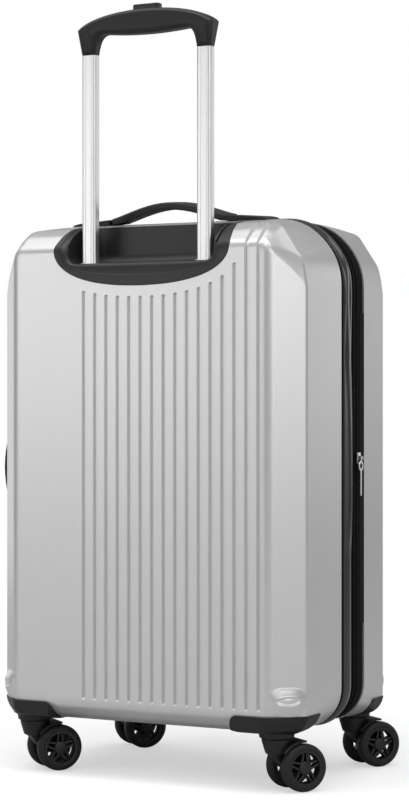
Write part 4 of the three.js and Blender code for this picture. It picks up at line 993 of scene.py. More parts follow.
def slack_band():
    """The coated band, whose crown wanders across it on the sides, as on a strip that isn't taut."""
    shares = np.linspace(0, 1, 17)
    arc = [
        (BAND_START + BAND_WIDTH * share, BAND_INSET - BAND_BULGE * math.sin(math.pi * share))
        for share in shares
    ]
    rings = [
        resampled_loop(case_ring(BACK - depth, SEAM, inset), count=BAND_POINTS)
        for depth, inset in (*arc, *BAND_BACK)
    ]
    for share, points in zip(shares, rings):
        for i, (x, y, z) in enumerate(points):
            if abs(x) > HALF_WIDTH - SIDE_REACH:
                skewed = math.sin(math.pi * share ** np.interp(z, SLACK_HEIGHTS, SLACK_SKEWS))
                points[i] = (x + math.copysign(BAND_BULGE * (skewed - math.sin(math.pi * share)), x), y, z)
    return as_object(skin(rings, closed=True))


settle(slack_band(), "glossy_side_band", COATED, "rear", ["side_band"], crease=50)

# %% Zip tapes
ZIP_RUN = 129.6
TAPE_GAP = 0.3
rear_tape = hoop(
    [(121.5, 3.4), (121.5, 2.6), (124.4, 2.4), (124.7, 0.9), (127.2, 0.9), (127.6, 2.2),
     (ZIP_RUN - TAPE_GAP, 2.4), (ZIP_RUN - TAPE_GAP, 3.4)]
)
settle(rear_tape, "expansion_zip_rear_tape", TAPE_BLACK, "rear", ["expansion_zip_rear"])
front_tape = hoop(
    [(ZIP_RUN + TAPE_GAP, 3.4), (ZIP_RUN + TAPE_GAP, 2.4), (131.3, 2.2), (131.6, 0.7), (136.8, 0.6),
     (136.8, 3.4)]
)
settle(front_tape, "expansion_zip_front_tape", TAPE_BLACK, "zip_frame",
       ["expansion_zip_front"])
main_tape = hoop(
    [(137.1, 3.4), (137.1, 0.7), (138.2, 0.6), (145.2, 0.6), (145.5, 2.2), (147.8, 2.4), (147.8, 3.4)]
)
settle(main_tape, "main_zip_wide_tape", TAPE_BLACK, "front", ["main_zip_tape"])

# %% [markdown]
# ## Zip teeth
#
# A zip is two rows of hooks that take turns, and from a step away it reads as one fine ladder. Real hooks
# are loops of one nylon thread, and at this size a small block with broken edges can't be told from them.
# A tooth is drawn once and set out along the run, with the turn that the outline has there. The rear row
# rides on the case and the front row on the zip frame.

# %% Zip teeth
# Coarser than a real zip, which has two or three hooks where this one has one, so that they show.
TOOTH_PITCH = 2.6
TOOTH_SIZE = (1.5, 1.9, 1.3)
TOOTH_INSET, TOOTH_APART = 2.3, 0.55


def teeth(side, phase):
    """One row of teeth on the zip: side -1 is the row nearer the back and +1 the other one."""
    line = resampled_loop(case_ring(BACK - ZIP_RUN, SEAM, TOOTH_INSET, 16), TOOTH_PITCH)
    tooth = bmesh.new()
    bmesh.ops.create_cube(tooth, size=1)
    bmesh.ops.scale(tooth, vec=TOOTH_SIZE, verts=tooth.verts)
    round_off(tooth, tooth.edges[:], 0.3, 1)
    shape = bpy.data.meshes.new("tooth")
    tooth.to_mesh(shape)
    tooth.free()
    row = bmesh.new()
    for here, ahead in zip(line[phase::2], line[phase + 1 :: 2]):
        direction = math.atan2(ahead[2] - here[2], ahead[0] - here[0])
        place = Matrix.Translation(Vector(here) + Vector((0, -side * TOOTH_APART, 0)))
        before = len(row.verts)
        row.from_mesh(shape)
        row.verts.ensure_lookup_table()
        turn = Matrix.Rotation(-direction, 4, "Y")
        bmesh.ops.transform(row, matrix=place @ turn, verts=row.verts[before:])
    bpy.data.meshes.remove(shape)
    return as_object(row)


settle(teeth(-1, 0), "expansion_zip_rear_teeth", COIL_BLACK, "rear")
settle(teeth(1, 1), "expansion_zip_front_teeth", COIL_BLACK, "zip_frame")

# %% [markdown]
# ## Telescopic tubes
#
# The tubes are extruded and drawn aluminium, with two fine flutes down each broad face that stiffen them
# and catch the light. They are prisms of one outline at three sizes, which is just how an extrusion is
# made. The outer and middle ones are hollow, because the next one slides in them, so each has a smaller
# prism cut out of it. A bracket ties their feet together at the bottom of the case.

# %% Tubes and their bracket
TUBE_CORNER = 2.6
FLUTE_DEPTH = 0.4
# Shares of the tube's width, and whether the face is cut in there.
FLUTES = ((0.24, 0), (0.205, 1), (0.17, 0), (-0.17, 0), (-0.205, 1), (-0.24, 0))


def fluted_outline(width, depth):
    points = rounded_rectangle(width, depth, TUBE_CORNER, 5)
    near = [(width * share, depth / 2 - FLUTE_DEPTH * cut) for share, cut in FLUTES]
    far = [(-x, -y) for x, y in near]
    half = len(points) // 2
    quarter = half // 2
    return [*points[:quarter], *near, *points[quarter : quarter + half], *far, *points[quarter + half :]]


def tube(solid, wall):
    """A tube in its solid's place, hollow if it has a wall."""
    low, high = spot(solid)
    x, width, depth = (low.x + high.x) / 2, high.x - low.x, high.y - low.y
    made = as_object(upright(fluted_outline(width, depth), x, low.z, high.z))
    if wall:
        inside = rounded_rectangle(width - wall, depth - wall, 2)
        combine(made, "DIFFERENCE", as_object(upright(inside, x, low.z - 1, high.z + 1)))
    return made


for side in ("left", "right"):
    for stage, body, wall in (("inner", "grip_stage", 0), ("mid", "mid_stage", 2), ("outer", "rear", 2)):
        solid = f"{stage}_tube_{side}"
        settle(tube(solid, wall), f"{solid}_fluted", ALUMINIUM, body, [solid])

settle_refined("tube_foot_bracket", "casting", MOULDED_BLACK, "rear", 1)

# %% [markdown]
# ## The grip
#
# The grip is moulded over the ends of the tubes: two collars, two shoulders and a bar that is bowed on
# top and bellies a little underneath, all under one soft skin. Its look is in its outline from behind,
# so it starts as that outline, extruded. Then it is bevelled all round, tapered towards the collars, and
# a rib is raised along each collar. Rows of edges are cut in before that, so there is something to bend.
# A pocket in its top takes the release button.

# %% Grip outline
GRIP_TOP = spot("grip")[1].z
GRIP_HEIGHT = 42
COLLAR_Z = GRIP_TOP - GRIP_HEIGHT
COLLAR_HALF, SHOULDER_OUT, SHOULDER_UP = 8, 11.4, 25
BAR_UNDER, BAR_SAG, BAR_CORNER = 19.6, 2.2, 15


def grip_outline():
    """The grip from behind, as (x, height above its collars) points, from its middle outwards."""
    inner, shoulder = TUBE_X - COLLAR_HALF, TUBE_X + SHOULDER_OUT
    flat_half = inner - BAR_CORNER
    belly = [
        (x, BAR_UNDER - BAR_SAG * (1 - (x / flat_half) ** 2)) for x in np.linspace(0, flat_half, 8)[:-1]
    ]
    corner_knots = (
        (flat_half, BAR_UNDER), (inner - 4, BAR_UNDER + 1.8), (inner - 1.2, BAR_UNDER - 5), (inner, 0)
    )
    # A cubic curve's middle rises three quarters of the way from its end knots to its inner ones.
    crown = (4 * GRIP_HEIGHT - SHOULDER_UP) / 3
    top_knots = (
        (shoulder, SHOULDER_UP), (0.7 * shoulder, crown), (-0.7 * shoulder, crown), (-shoulder, SHOULDER_UP)
    )
    right = [*belly, *bezier(corner_knots, 12), (TUBE_X + COLLAR_HALF, 0), *bezier(top_knots, 33)[:17]]
    return right + [(-x, z) for x, z in right[-2:0:-1]]


print("points round the grip", len(grip_outline()))


# %% Grip
GRIP_HALF_DEPTH, COLLAR_SHARE, TAPER_UP = 10, 0.55, 22
GRIP_ROWS = np.array([2, 5, 8, 11, 14, 17, 20, TAPER_UP, 26])
RIB_HALF, RIB_RISE, RIB_EDGE = 3.2, 0.8, 0.9


def square_to_y(edge):
    """Whether an edge runs along the grip's broad faces, and not from one of them to the other."""
    return abs(edge.verts[0].co.y - edge.verts[1].co.y) < 0.1


def grip_shape():
    points = [(x, TUBE_Y - GRIP_HALF_DEPTH, COLLAR_Z + z) for x, z in grip_outline()]
    bm = prism(points, Vector((0, 2 * GRIP_HALF_DEPTH, 0)))
    round_off(bm, [edge for edge in bm.edges if square_to_y(edge)], 3.2, 1)
    chamfers = [edge for edge in bm.edges if edge.calc_face_angle(0) > 0.5 and square_to_y(edge)]
    round_off(bm, chamfers, 0.9, 2)
    slice_rows(without_large_faces(bm), COLLAR_Z + GRIP_ROWS, (0, 0, 1))
    for side in (-1, 1):
        ribs = (-RIB_HALF - RIB_EDGE, -RIB_HALF, RIB_HALF, RIB_HALF + RIB_EDGE)
        slice_rows(bm, [side * TUBE_X + offset for offset in ribs], (1, 0, 0))
    for vert in bm.verts:
        up = vert.co.z - COLLAR_Z
        taper = blend(COLLAR_SHARE, 1, min(1, up / TAPER_UP))
        off_rib = abs(abs(vert.co.x) - TUBE_X) - RIB_HALF
        rib = RIB_RISE * step_down(off_rib, 0, RIB_EDGE) * step_down(up, 12, 26)
        away = vert.co.y - TUBE_Y
        vert.co.y = TUBE_Y + taper * away + (math.copysign(rib, away) if abs(away) > 9 else 0)
    grip = as_object(bm)
    plug = rounded_rectangle(13, 7, 1.5)
    plugs = [upright(plug, side * TUBE_X, COLLAR_Z - 16, COLLAR_Z + 4) for side in (-1, 1)]
    combine(grip, "UNION", as_object(*plugs))
    low, high = spot("grip_button")
    room = rounded_rectangle(high.x - low.x + 0.6, high.y - low.y + 0.6, 3.3)
    return combine(grip, "DIFFERENCE", as_object(upright(room, 0, low.z - 3.3, low.z + 26.7)))


settle(grip_shape(), "grip_moulding", SOFT_TOUCH, "grip_stage", ["grip"], crease=25)

# %% [markdown]
# ## Button and carry handles
#
# The release button, the two carry handles and the feet that hold them are small mouldings whose solids
# have the right shape already. What the solids lack is the small radius that every moulded edge has, and
# without it no edge would catch a highlight. So each is a copy of its solid with all its sharp edges
# bevelled: widely on the padded handles, finely on the feet.

# %% Button and carry handles
settle_refined("grip_button", "cap", BUTTON_BLACK, "grip_button", 1, 3)
for name in ("top", "side"):
    settle_refined(f"{name}_handle", "bar", SOFT_TOUCH, f"{name}_carry", 1.6, 3)
for foot in ("top_handle_foot_left", "top_handle_foot_right", "side_handle_foot_upper",
             "side_handle_foot_lower"):
    settle_refined(foot, "cap", MOULDED_BLACK, "rear", 0.8)

# %% [markdown]
# ## Wheels
#
# All eight wheels are the same: a soft tyre pressed on a nylon rim, whose thin double spokes leave open
# windows. The tyre is one closed section spun round its axle. The rim joins a spun ring, a spun hub and
# ten spokes by a Boolean, because the windows between them are what the eye sees, and cutting them out of
# a disc would need as many cutters. Both are drawn once, round the X axis, and then copied.

# %% Tyre
WHEEL_RADIUS, TREAD_RADIUS, WHEEL_WIDTH, HUB_RADIUS = 23.6, 17.2, 12, 7
X_AXIS, Z_AXIS = (1, 0, 0), (0, 0, 1)


def around_x(section, steps=48, closed=False):
    """A part turned round X, from (x, radius) points."""
    return turned([Vector((x, 0, radius)) for x, radius in section], X_AXIS, steps, closed)


def tyre_mesh():
    half = WHEEL_WIDTH / 2
    section = [
        (0.8 - half, TREAD_RADIUS), (0.1 - half, TREAD_RADIUS + 1.2), (0.1 - half, TREAD_RADIUS + 2.6),
        (1.2 - half, WHEEL_RADIUS - 1.6), (2.6 - half, WHEEL_RADIUS - 0.35), (4.2 - half, WHEEL_RADIUS),
    ]
    return around_x(section + [(-x, r) for x, r in section[::-1]], 72, closed=True)


tyre_pattern = as_object(tyre_mesh())
print("a tyre has", len(tyre_pattern.data.polygons), "faces")

# %% Rim
SPOKE_PAIRS = 5
SPOKE_WIDTH, SPOKE_LEAN, SPOKE_APART, SPOKE_IN = 2.3, 0.16, 2.3, 1.3


def spoke(index, sideways):
    """One spoke of a pair, leaning towards the other one at the rim."""
    bm = bmesh.new()
    bmesh.ops.create_cube(bm, size=1)
    reach = TREAD_RADIUS - HUB_RADIUS + 1
    bmesh.ops.scale(bm, vec=(WHEEL_WIDTH - 4.4, SPOKE_WIDTH, reach), verts=bm.verts)
    round_off(bm, bm.edges[:], 0.5, 2)
    lean = Matrix.Rotation(sideways * SPOKE_LEAN, 4, "X")
    out = Vector((0, sideways * SPOKE_APART, (TREAD_RADIUS + HUB_RADIUS) / 2 - SPOKE_IN))
    turn = Matrix.Rotation(2 * math.pi * index / SPOKE_PAIRS, 4, "X")
    bmesh.ops.transform(bm, matrix=turn @ Matrix.Translation(out) @ lean, verts=bm.verts)
    return as_object(bm)


def rim_mesh():
    half = WHEEL_WIDTH / 2
    ring = around_x([
        (0.4 - half, TREAD_RADIUS - 1.9), (0.4 - half, TREAD_RADIUS + 0.3), (half - 0.4, TREAD_RADIUS + 0.3),
        (half - 0.4, TREAD_RADIUS - 1.9), (half - 2.2, TREAD_RADIUS - 2.6), (2.2 - half, TREAD_RADIUS - 2.6),
    ], 72, closed=True)
    hub = around_x([
        (half - 1.9, 0), (half - 1.9, 2.5), (0.9 - half, 2.5), (0.9 - half, 6), (1.9 - half, HUB_RADIUS),
        (half - 2.2, HUB_RADIUS), (half - 1.2, HUB_RADIUS - 0.6), (half - 0.7, HUB_RADIUS - 2),
        (half - 0.6, 0),
    ])
    spokes = [spoke(index, sideways) for index in range(SPOKE_PAIRS) for sideways in (-1, 1)]
    return combine(as_object(ring), "UNION", as_object(hub), *spokes)


rim_pattern = rim_mesh()
print("a rim has", len(rim_pattern.data.polygons), "faces")

# %% [markdown]
# ## Forks
#
# A fork turns on a stem in its housing. Its hood narrows downwards, a leg reaches back between the two
# wheels to the axle, and a thin fender covers their tops. Each of these is a simple form, so they are made
# one by one, joined, and then the wheels' room is turned out of the whole, as a core in the mould does.

# %% Forks
TRAIL, SEAT_Z, STEM_RADIUS, LEG_HALF = 21.2, 52.3, 4, 8
CASTER_IN, CASTER_DEEP = 39.5, 29.9
FENDER_ARC = (84, 145)
FENDER_HALF, FENDER_THICKNESS, WHEEL_ROOM = 18, 2, 24.6
LEG_CLEAR = 0.02
# The axle's bore is cut as a ring, so a hair of a core stays on its middle line, inside the axle.
BORE_CORE = 0.01


def around_z(profile, steps=48):
    """A part turned round Z, from (radius, z) points."""
    return turned([Vector((radius, 0, z)) for radius, z in profile], Z_AXIS, steps)


def around_axle(section, steps, closed=False):
    """A part turned round a fork's axle, from (place along it, radius) points."""
    bm = around_x(section, steps, closed)
    turn = Matrix.Translation((TRAIL, 0, WHEEL_RADIUS)) @ Matrix.Rotation(math.pi / 2, 4, "Z")
    bmesh.ops.transform(bm, matrix=turn, verts=bm.verts)
    return bm


def fender():
    """A thin arched strip over the wheels."""
    outside = WHEEL_ROOM + FENDER_THICKNESS
    section = [
        (WHEEL_ROOM, -FENDER_HALF), (WHEEL_ROOM, FENDER_HALF), (WHEEL_ROOM + 1.2, FENDER_HALF),
        (outside, FENDER_HALF - 0.9), (outside, 0.9 - FENDER_HALF), (WHEEL_ROOM + 1.2, -FENDER_HALF),
    ]
    return skin([
        [(TRAIL + r * math.cos(a), y, WHEEL_RADIUS + r * math.sin(a)) for r, y in section]
        for a in np.radians(np.linspace(*FENDER_ARC, 24))
    ])


def fork_shape():
    """The fork at the origin: it trails towards +X, with its axle along Y."""
    crown = SEAT_Z - 0.3
    hood = around_z([
        (0, crown), (14.1, crown), (14.9, crown - 0.8), (14.8, crown - 3), (13.6, crown - 7),
        (11.8, crown - 13), (10.9, crown - 15), (9.9, crown - 15.6), (0, crown - 15.6),
    ])
    outline = [
        (-9, crown - 13), (2, WHEEL_RADIUS + 1), (TRAIL - 7, WHEEL_RADIUS - 6), (TRAIL, WHEEL_RADIUS - 8),
        (TRAIL + 6.5, WHEEL_RADIUS - 4), (TRAIL + 7, WHEEL_RADIUS + 5), (TRAIL + 3, 2 * WHEEL_RADIUS - 2),
        (10, crown - 4), (-9, crown - 4),
    ]
    leg = prism([(x, -LEG_HALF, z) for x, z in outline], Vector((0, 2 * LEG_HALF, 0)))
    round_off(leg, leg.edges[:], 1.1, 3)
    fork = combine(as_object(hood), "UNION", as_object(leg))
    combine(fork, "UNION", as_object(fender()))
    near, room = LEG_HALF + LEG_CLEAR, WHEEL_ROOM - LEG_CLEAR
    wells = [
        around_axle([(side * near, 0), (side * near, room), (side * 30, room), (side * 30, 0)], 72)
        for side in (-1, 1)
    ]
    combine(fork, "DIFFERENCE", as_object(*wells))
    bore = around_axle([(-9, BORE_CORE), (-9, 2.5), (9, 2.5), (9, BORE_CORE)], 32, closed=True)
    combine(fork, "DIFFERENCE", as_object(bore))
    low, high = crown - 4, SEAT_Z + 13
    stem = around_z([(0, low), (STEM_RADIUS, low), (STEM_RADIUS, high), (0, high)], 24)
    return combine(fork, "UNION", as_object(stem))


fork_pattern = fork_shape()
print("a fork has", len(fork_pattern.data.polygons), "faces")

# %% [markdown]
# ## Housings
#
# A wheel housing is a moulded cap over the case's lower corner, with a seat below it for the fork. The cap
# is the shell's own outline, grown by a millimetre and kept only round the corner, so it fits the shell
# everywhere without being measured again. Its inside stops half a millimetre short of the shell's own
# inside, so that it can't show in there. The seat is turned, and flares out into the cap, with a boss and
# a bore inside for the stem.

# %% Housings
HOUSING_HEIGHT, HOUSING_DEPTH, HOUSING_PROUD = 19, 56, 0.9
HOUSING_UNDERCUT, HOUSING_SHORT = 0.3, 0.5
HOUSING_END = ((112, 50), (107, 54.5), (104.2, 60), (103.5, 66), (103.8, 70.4), (105.2, 73.4), (108, 74.8))
BOSS_RADIUS, BOSS_UP, BORE_CLEAR = 8, 15, 0.4


def housing_shape(side, end):
    depth = BACK - REAR_RIM if end > 0 else BACK + FRONT_RIM
    outer, near = side * (HALF_WIDTH + 10), end * (BACK - HOUSING_DEPTH)
    outline = [(side * x, z) for x, z in HOUSING_END]
    outline += [(outer, BOTTOM + HOUSING_HEIGHT), (outer, BOTTOM - 6)]
    corner = prism([(x, near, z) for x, z in outline], Vector((0, end * (HOUSING_DEPTH + 10), 0)))
    piece = as_object(shell_block(depth, end, inset=-HOUSING_PROUD, undercut=HOUSING_UNDERCUT))
    combine(piece, "INTERSECT", as_object(corner))
    inside = shell_block(depth, end, inset=WALL - HOUSING_SHORT, overrun=20)
    combine(piece, "DIFFERENCE", as_object(inside))
    seat = around_z([(radius, SEAT_Z + up) for radius, up in (
        (0, 0), (16.4, 0), (17.2, 0.8), (17.6, 4.2), (18.4, 5.6), (20.4, 6.8), (21.5, 7.4),
        (BOSS_RADIUS, 7.4), (BOSS_RADIUS, BOSS_UP - 0.8), (BOSS_RADIUS - 0.8, BOSS_UP), (0, BOSS_UP),
    )])
    wide, low, high = STEM_RADIUS + BORE_CLEAR, SEAT_Z - 2, SEAT_Z + BOSS_UP - 1.5
    bore = around_z([(0, low), (wide, low), (wide, high), (0, high)], 24)
    centre = Vector((side * (HALF_WIDTH - CASTER_IN), end * (BACK - CASTER_DEEP), 0))
    for part in (seat, bore):
        bmesh.ops.translate(part, vec=centre, verts=part.verts)
    combine(piece, "UNION", as_object(seat))
    return combine(piece, "DIFFERENCE", as_object(bore))


# %% [markdown]
# ## Setting the casters in place
#
# Casters trail, so each of the four has come to rest with its own heading. That heading is already in the
# frame, as the line between its two wheels, and the fork's is the line from its swivel to its axle. Every
# piece rides on the body that carries it: a wheel on its roll, a fork and its axle on their swivel, and a
# housing on its half of the case.

# %% Set the casters in place
for corner in ("rear_left", "rear_right", "front_left", "front_right"):
    side, end = (1 if "right" in corner else -1), (1 if "rear" in corner else -1)
    a, b = middle(f"tyre_{corner}_a"), middle(f"tyre_{corner}_b")
    heading = math.atan2(b.y - a.y, b.x - a.x)
    for wheel, outside in (("a", heading + math.pi), ("b", heading)):
        body, turn = f"wheel_{corner}_{wheel}", Matrix.Rotation(outside, 4, "Z")
        for pattern, solid, suffix, material, slot in (
            (tyre_pattern, f"tyre_{corner}_{wheel}", "tread", TYRE_BLACK, "tyre_black"),
            (rim_pattern, f"rim_{corner}_{wheel}", "spoked", RIM_BLACK, "black_plastic"),
        ):
            piece = placed_copy(pattern, Matrix.Translation(middle(solid)) @ turn)
            settle(piece, f"{solid}_{suffix}", material, body, [solid])
    fork, axle, housing = f"caster_fork_{corner}", f"axle_{corner}", f"wheel_housing_{corner}"
    swivel = Vector((side * (HALF_WIDTH - CASTER_IN), end * (BACK - CASTER_DEEP), 0))
    trail = middle(axle) - swivel
    place = Matrix.Translation(swivel) @ Matrix.Rotation(math.atan2(trail.y, trail.x), 4, "Z")
    settle(placed_copy(fork_pattern, place), f"{fork}_moulding", MOULDED_BLACK, f"swivel_{corner}",
           [fork])
    settle_refined(axle, "pin", STEEL, f"swivel_{corner}", 0.3, 1)
    settle(housing_shape(side, end), f"{housing}_moulding", MOULDED_BLACK, "rear" if end > 0 else "front",
           [housing])
for pattern in (tyre_pattern, rim_pattern, fork_pattern):
    bpy.data.objects.remove(pattern)

# %% [markdown]
# ## Zip sliders and the buckle
#
# Each zip has a cast slider and a pull that swings on it. They are the only bright metal on the sides, so
# they are seen at once though they are small. Their solids have the right shape, and a fine bevel on every
# edge is what makes them look cast and plated. The slider and its pull are two pieces on two bodies, so
# that the pull can swing. The plastic buckle of the packing strap is made in the same way.

# %% Sliders, pulls and buckle
for name in ("expansion", "main"):
    settle_refined(f"{name}_zip_slider", "body", PLATED_ZINC, f"{name}_slider", 0.5)
    settle_refined(f"{name}_zip_pull", "tag", PLATED_ZINC, f"{name}_pull", 0.4)
settle_refined("strap_buckle", "moulding", MOULDED_BLACK, "rear", 0.6)

# %% [markdown]
# ## Lining
#
# Polyester lining is sewn to a tape at each rim and hangs loosely against the shell. Each lining here
# follows the shell's inside a little further in, and noise lets it belly by a few millimetres. It could
# be a cloth simulation, but it is held all round with the shell close behind it, which leaves little for
# one to move, so none is used. It is a single layer that a Solidify modifier gives the cloth's thickness,
# and it is lifted over the bosses of the casters.

# %% Linings
LINING_GAP = 0.9
CLOTH = 0.6
BELLY = 3.2
FOLD_SIZE = 55
BOSS_TOP = SEAT_Z + BOSS_UP + 1.5
LINING_POINTS = 200
LINING_SHORT = 2
FLOOR_SHARES = (0.1, 0.3, 0.5, 0.7, 0.85)


def lining_cloth(end, shell_depth, first, last, panel):
    """Cloth along a shell's inside between two depths, with or without its flat panel."""
    rings = []
    for spec in evenly(shell_path(shell_depth), 4):
        depth, outline = inset_ring(spec, end, WALL + LINING_GAP)
        if first <= depth <= last:
            rings.append(resampled_loop(outline, count=LINING_POINTS))
    if panel:
        height = (TOP + BOTTOM) / 2
        rings[:0] = [
            [(x * share, y, height + (z - height) * share) for x, y, z in rings[0]]
            for share in FLOOR_SHARES
        ]
    bm = skin(rings, capped=False)
    if panel:
        near_middle = [
            edge
            for edge in bm.edges
            if edge.is_boundary and max(abs(vert.co.x) for vert in edge.verts) < 20
        ]
        bmesh.ops.holes_fill(bm, edges=near_middle, sides=0)
        bmesh.ops.recalc_face_normals(bm, faces=bm.faces)
    bm.normal_update()
    inside = Vector((0, end * (BACK - shell_depth), (TOP + BOTTOM) / 2))
    for vert in bm.verts:
        inward = vert.normal if vert.normal.dot(inside - vert.co) > 0 else -vert.normal
        fold = 0.5 + 0.5 * noise.noise(vert.co / FOLD_SIZE)
        vert.co += inward * BELLY * fold
        x, y, z = vert.co
        from_boss = math.hypot(abs(x) - (HALF_WIDTH - CASTER_IN), abs(y) - (BACK - CASTER_DEEP))
        if z < BOTTOM + 40:
            vert.co.z = max(z, blend(z, BOSS_TOP + 1.5, step_down(from_boss, 11, 24)))
    return bm


def cloth_piece(bm, name, body):
    """A loose lining, given the cloth's thickness and settled on its half of the case."""
    piece = as_object(bm)
    solid = piece.modifiers.new("cloth_thickness", "SOLIDIFY")
    solid.thickness = CLOTH * MM
    solid.offset = 0
    settle(piece, name, LINING, body, crease=80)
    print(name, round(cloth_area(piece), 4), "m2")
    return piece


def cloth_area(piece):
    """The area of all of a piece's faces, in square metres."""
    return sum(face.area for face in piece.data.polygons)


front_depth = BACK + FRONT_RIM
front_lining = lining_cloth(-1, front_depth, 0, front_depth - LINING_SHORT, panel=True)
front_cloth = cloth_piece(front_lining, "front_lining_cloth", "front")

rear_depth = BACK - REAR_RIM
side_lining = lining_cloth(1, rear_depth, 20, rear_depth - LINING_SHORT, panel=False)
over_the_tub = [
    face
    for face in side_lining.faces
    for centre in [face.calc_center_median()]
    if abs(centre.x) < 96 and centre.z > TOP - 60 and centre.y > BACK - RECESS_DEPTH - 5
]
bmesh.ops.delete(side_lining, geom=over_the_tub, context="FACES")
side_cloth = cloth_piece(side_lining, "rear_side_lining_cloth", "rear")

# %% [markdown]
# ## The rear half's flat panel
#
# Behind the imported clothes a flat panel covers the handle's tubes, and it is sewn to the side lining. Its
# solid is a little small all round, which would show as a dark gap, so a copy of it is let out to the
# lining at its sides and foot, and beside the tub, by moving the vertices there.

# %% Rear panel
SIDE_LET_OUT, FOOT_LET_OUT = 8.5, 10.8
LEDGE_LET_OUT, SHOULDER_LET_OUT = 57, 21
panel_cloth = refined("rear_lining", 1.2, 3)
panel_low, panel_high = spot("rear_lining")
for vert in panel_cloth.data.vertices:
    if abs(vert.co.x) > panel_high.x - 5:
        vert.co.x += math.copysign(SIDE_LET_OUT, vert.co.x)
    if vert.co.z < panel_low.z + 5:
        vert.co.z -= FOOT_LET_OUT
    if vert.co.z > THROAT_FLOOR - 19 and 95 < abs(vert.co.x) < 115:
        let_out = LEDGE_LET_OUT if vert.co.z < THROAT_FLOOR else SHOULDER_LET_OUT
        vert.co.x += math.copysign(let_out, vert.co.x)
settle(panel_cloth, "rear_lining_cloth", LINING, "rear", ["rear_lining"])

# %% [markdown]
# ## Strap, gusset and hinge
#
# A strap of webbing with a buckle crosses the rear half. The gusset is the strip that lets the case grow: it
# lies in pleats behind the expansion zip, which flatten out when the zip opens, so the strip is drawn as a
# zigzag. The hinge is a strip of the same cloth between the zip frame and the front half. The gusset and the
# hinge each join two bodies, so they ride on neither and stay where they are drawn.

# %% Strap, gusset and hinge
PLEATS = 6
PLEAT_NEAR, PLEAT_FAR = 3.9, 10.3
strap = settle_refined("packing_strap", "webbing", WEBBING, "rear", 0.3, 1)
gusset_low, gusset_high = spot("expansion_gusset")
pleat_line = [
    (blend(BACK - gusset_high.y, BACK - gusset_low.y, i / PLEATS), PLEAT_FAR if i % 2 else PLEAT_NEAR)
    for i in range(PLEATS + 1)
]
gusset = hoop([*pleat_line, *((depth, inset + CLOTH) for depth, inset in pleat_line[::-1])])
settle(gusset, "expansion_gusset_cloth", HINGE_CLOTH, None, ["expansion_gusset"])
hinge = settle_refined("hinge_strip", "cloth", HINGE_CLOTH, None, 0.3, 1)
for piece in (panel_cloth, strap, gusset, hinge):
    print(piece.name, round(cloth_area(piece) / 2, 5), "m2")
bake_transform(gusset)
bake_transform(hinge)

# %% [markdown]
# ## What each cloth was cut to
#
# A cloth keeps its area, however it hangs, so the area printed for each one as it is made, in square metres,
# says how large it was before it was sewn in.

# %% [markdown]
# ## Floor and background
#
# The case stands on a plain pale floor in a plain pale room. Rays from the camera that miss everything
# see pure white. A floor that is only painted white would render as a grey, so to the camera this one also
# glows a little, which brings it up to the white behind it and leaves the case's shadow. From half a metre
# away from the case the glow takes over, so the floor's edge can't be seen.


# %% Floor and world
def floor_material():
    """Pale and matt, and as white as the backdrop to the camera, except where the case shades it."""
    material = new_material("pale_studio_floor")
    path = node(material, "LightPath")
    place = node(material, "TexCoord").outputs["Object"]
    away = node(material, "VectorMath", {0: place}, operation="LENGTH").outputs["Value"]
    fade = node(material, "MapRange", {"Value": away, "From Min": 0.45, "From Max": 1.1},
                interpolation_type="SMOOTHSTEP")
    diffuse = node(material, "BsdfDiffuse", {"Color": (0.6, 0.6, 0.6, 1)})
    glow = node(material, "Emission", {"Color": (1, 1, 1, 1), "Strength": 0.52})
    lit = node(material, "AddShader", {0: diffuse.outputs[0], 1: glow.outputs[0]})
    white = node(material, "Emission", {"Color": (1, 1, 1, 1), "Strength": 1})
    faded = node(material, "MixShader", {0: fade.outputs[0], 1: lit.outputs[0], 2: white.outputs[0]})
    shown = node(
        material, "MixShader", {0: path.outputs["Is Camera Ray"], 1: diffuse.outputs[0], 2: faded.outputs[0]}
    )
    node(material, "OutputMaterial", {"Surface": shown.outputs[0]})
    return material


FLOOR_HALF = 45000
floor_bm = bmesh.new()
bmesh.ops.create_grid(floor_bm, x_segments=1, y_segments=1, size=FLOOR_HALF)
floor = as_object(floor_bm, name="studio_floor")
floor.data.transform(TO_FRAME)
floor.data.materials.append(floor_material())

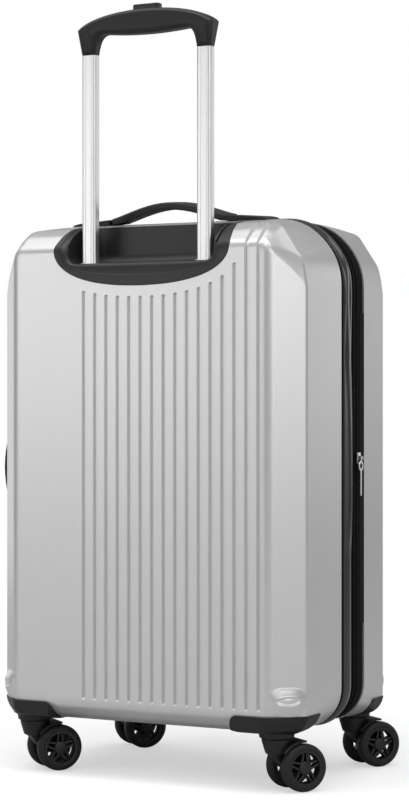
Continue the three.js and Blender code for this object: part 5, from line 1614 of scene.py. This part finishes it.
world = bpy.data.worlds.new("studio")
world.use_nodes = True
world.node_tree.nodes.clear()
path = node(world, "LightPath")
seen = node(world, "Math", {0: path.outputs["Is Camera Ray"], 1: path.outputs["Is Transmission Ray"]},
            operation="MAXIMUM")
room = node(world, "Background", {"Color": (1, 1, 1, 1), "Strength": 0.3})
backdrop = node(world, "Background", {"Color": (1, 1, 1, 1), "Strength": 1})
shown = node(world, "MixShader", {0: seen.outputs[0], 1: room.outputs[0], 2: backdrop.outputs[0]})
node(world, "OutputWorld", {"Surface": shown.outputs[0]})
bpy.context.scene.world = world
bpy.context.scene.view_settings.view_transform = "Standard"
print("floor", 2 * FLOOR_HALF * MM, "m wide")

# %% [markdown]
# ## Lamps
#
# A silver case shows what is round it more than what shines on it, so it needs many broad, soft lamps and
# no small hard one. Half of them hang high over it and make the soft shadow and the bright top edges. The
# rest stand lower round the case, so that the panel, the grooves, the bevels and the sides each get their
# own grey. All of them are rectangles, turned to a point on the case's middle line.

# %% Lamps
# Name, place in metres, the height on the case's middle line that it faces, its width and height, and its
# power in watts.
LAMPS = (
    ("overhead", (1.2, 0.3, 2.5), 0.4, 1.8, 1.8, 12.5),
    ("front_top", (0.0, 1.0, 2.9), 0.2, 2.0, 1.6, 30),
    ("corner", (-1.3, -1.1, 2.2), 0.4, 0.9, 0.9, 3.5),
    ("high_front", (-0.3, 2.2, 2.2), 0.35, 1.4, 1.0, 8),
    ("panel", (1.6, 2.4, 0.75), 0.4, 1.6, 1.0, 8.6),
    ("pad_light", (-1.4, 0.6, 2.6), 0.3, 0.9, 0.9, 9),
    ("groove_light", (-1.7, 2.1, 1.2), 0.4, 0.8, 0.8, 3),
    ("right_bevel", (-2.3, 1.3, 0.95), 0.4, 1.0, 1.2, 8.8),
    ("side", (-1.5, -2.3, 0.8), 0.4, 1.2, 1.2, 4.3),
    ("left_bevel", (2.2, -1.2, 0.45), 0.4, 1.2, 1.0, 3.4),
)
for name, place, height, width, length, power in LAMPS:
    lamp = bpy.data.lights.new(name, "AREA")
    lamp.shape = "RECTANGLE"
    lamp.size, lamp.size_y = width, length
    lamp.energy = power
    stand = bpy.data.objects.new(name, lamp)
    stand.location = place
    stand.rotation_euler = (Vector((0, 0, height)) - Vector(place)).to_track_quat("-Z", "Y").to_euler()
    bpy.context.scene.collection.objects.link(stand)
print("lamps", len(LAMPS))
